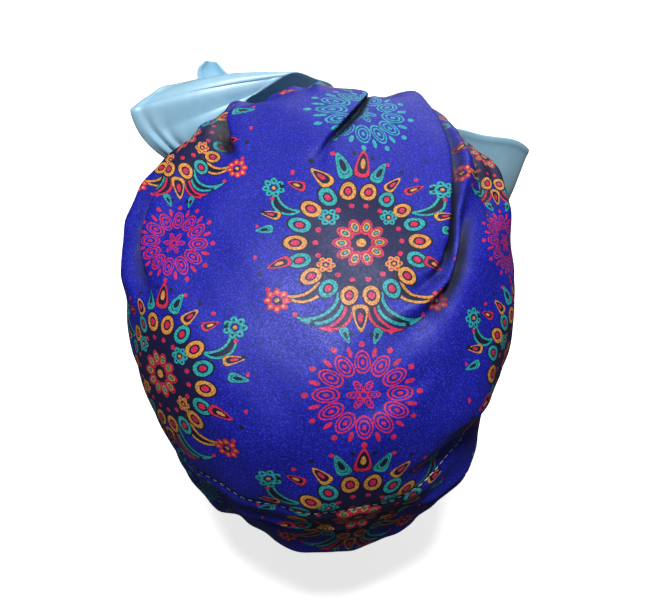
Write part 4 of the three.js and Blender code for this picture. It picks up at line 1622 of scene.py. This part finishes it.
class CAP_OT_set_stage(bpy.types.Operator):
    """Set the floor, the lights and the camera"""
    bl_idname = "cap.set_stage"
    bl_label = "Set the stage"

    def execute(self, context):
        settings = context.scene.studio_settings
        bpy.ops.object.select_all(action="DESELECT")
        ground = CAD_BOX[0][2] - settings.floor_drop
        bpy.ops.mesh.primitive_plane_add(size=FLOOR_SIDE, location=(0, 0, 0))
        floor = context.object
        floor.name = "floor"
        for corner in floor.data.vertices:
            corner.co.z = ground
        floor.data.materials.append(floor_material(settings))
        floor.visible_diffuse = False
        floor.visible_glossy = False
        middle = Vector(VIEW_TARGET)
        for name, kind, place, size, power in (
                ("key_light", "SUN", KEY_PLACE, settings.key_size, settings.key),
                ("fill_light", "AREA", FILL_PLACE, settings.fill_size, settings.fill),
                ("back_light", "AREA", BACK_PLACE, settings.fill_size, settings.back)):
            bpy.ops.object.light_add(type=kind, location=place)
            light = context.object
            light.name = name
            light.data.energy = power
            if kind == "SUN":
                light.data.angle = size
            else:
                light.data.size = size
            light.rotation_euler = (middle - light.location).to_track_quat("-Z", "Y").to_euler()
        context.scene.world = studio_world(settings)
        ahead = Vector((0, math.cos(VIEW_RISE), -math.sin(VIEW_RISE)))
        bpy.ops.object.camera_add(location=middle - VIEW_DISTANCE * ahead)
        camera = context.object
        camera.name = "camera"
        camera.rotation_euler = ahead.to_track_quat("-Z", "Y").to_euler()
        camera.data.sensor_width = SENSOR
        camera.data.lens = VIEW_LENS
        camera.data.shift_x, camera.data.shift_y = VIEW_SHIFT
        camera.data.clip_start = CLIP
        context.scene.camera = camera
        context.scene.view_settings.view_transform = "Standard"
        return {"FINISHED"}


class CAP_PT_sewing(bpy.types.Panel):
    """Panel that lists the steps and the settings of the cap."""
    bl_label = "Scrub cap"
    bl_idname = "CAP_PT_sewing"
    bl_space_type = "VIEW_3D"
    bl_region_type = "UI"
    bl_category = "Scrub cap"

    def draw(self, context):
        for group in ("cap_settings", "sash_settings", "studio_settings"):
            settings = getattr(context.scene, group)
            for name in type(settings).__annotations__:
                self.layout.prop(settings, name)
        for step in STEPS:
            self.layout.operator(step.bl_idname)


SETTINGS = {
    "cap_settings": CapSettings,
    "sash_settings": SashSettings,
    "studio_settings": StudioSettings,
}
STEPS = (
    CAP_OT_sew_crown,
    CAP_OT_sew_band,
    CAP_OT_stitch_hem,
    CAP_OT_tie_knot,
    CAP_OT_tie_sash,
    CAP_OT_set_stage,
)


def register():
    """Adds the settings, the steps and the panel."""
    for name, group in SETTINGS.items():
        bpy.utils.register_class(group)
        setattr(bpy.types.Scene, name, bpy.props.PointerProperty(type=group))
    for step in STEPS:
        bpy.utils.register_class(step)
    bpy.utils.register_class(CAP_PT_sewing)


def unregister():
    """Takes the panel, the steps and the settings away again."""
    bpy.utils.unregister_class(CAP_PT_sewing)
    for step in reversed(STEPS):
        bpy.utils.unregister_class(step)
    for name, group in SETTINGS.items():
        delattr(bpy.types.Scene, name)
        bpy.utils.unregister_class(group)


def main():
    """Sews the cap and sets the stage."""
    register()
    bpy.ops.cap.sew_crown()
    bpy.ops.cap.sew_band()
    bpy.ops.cap.stitch_hem()
    bpy.ops.cap.tie_knot()
    bpy.ops.cap.tie_sash()
    bpy.ops.cap.set_stage()


if __name__ == "__main__":
    main()
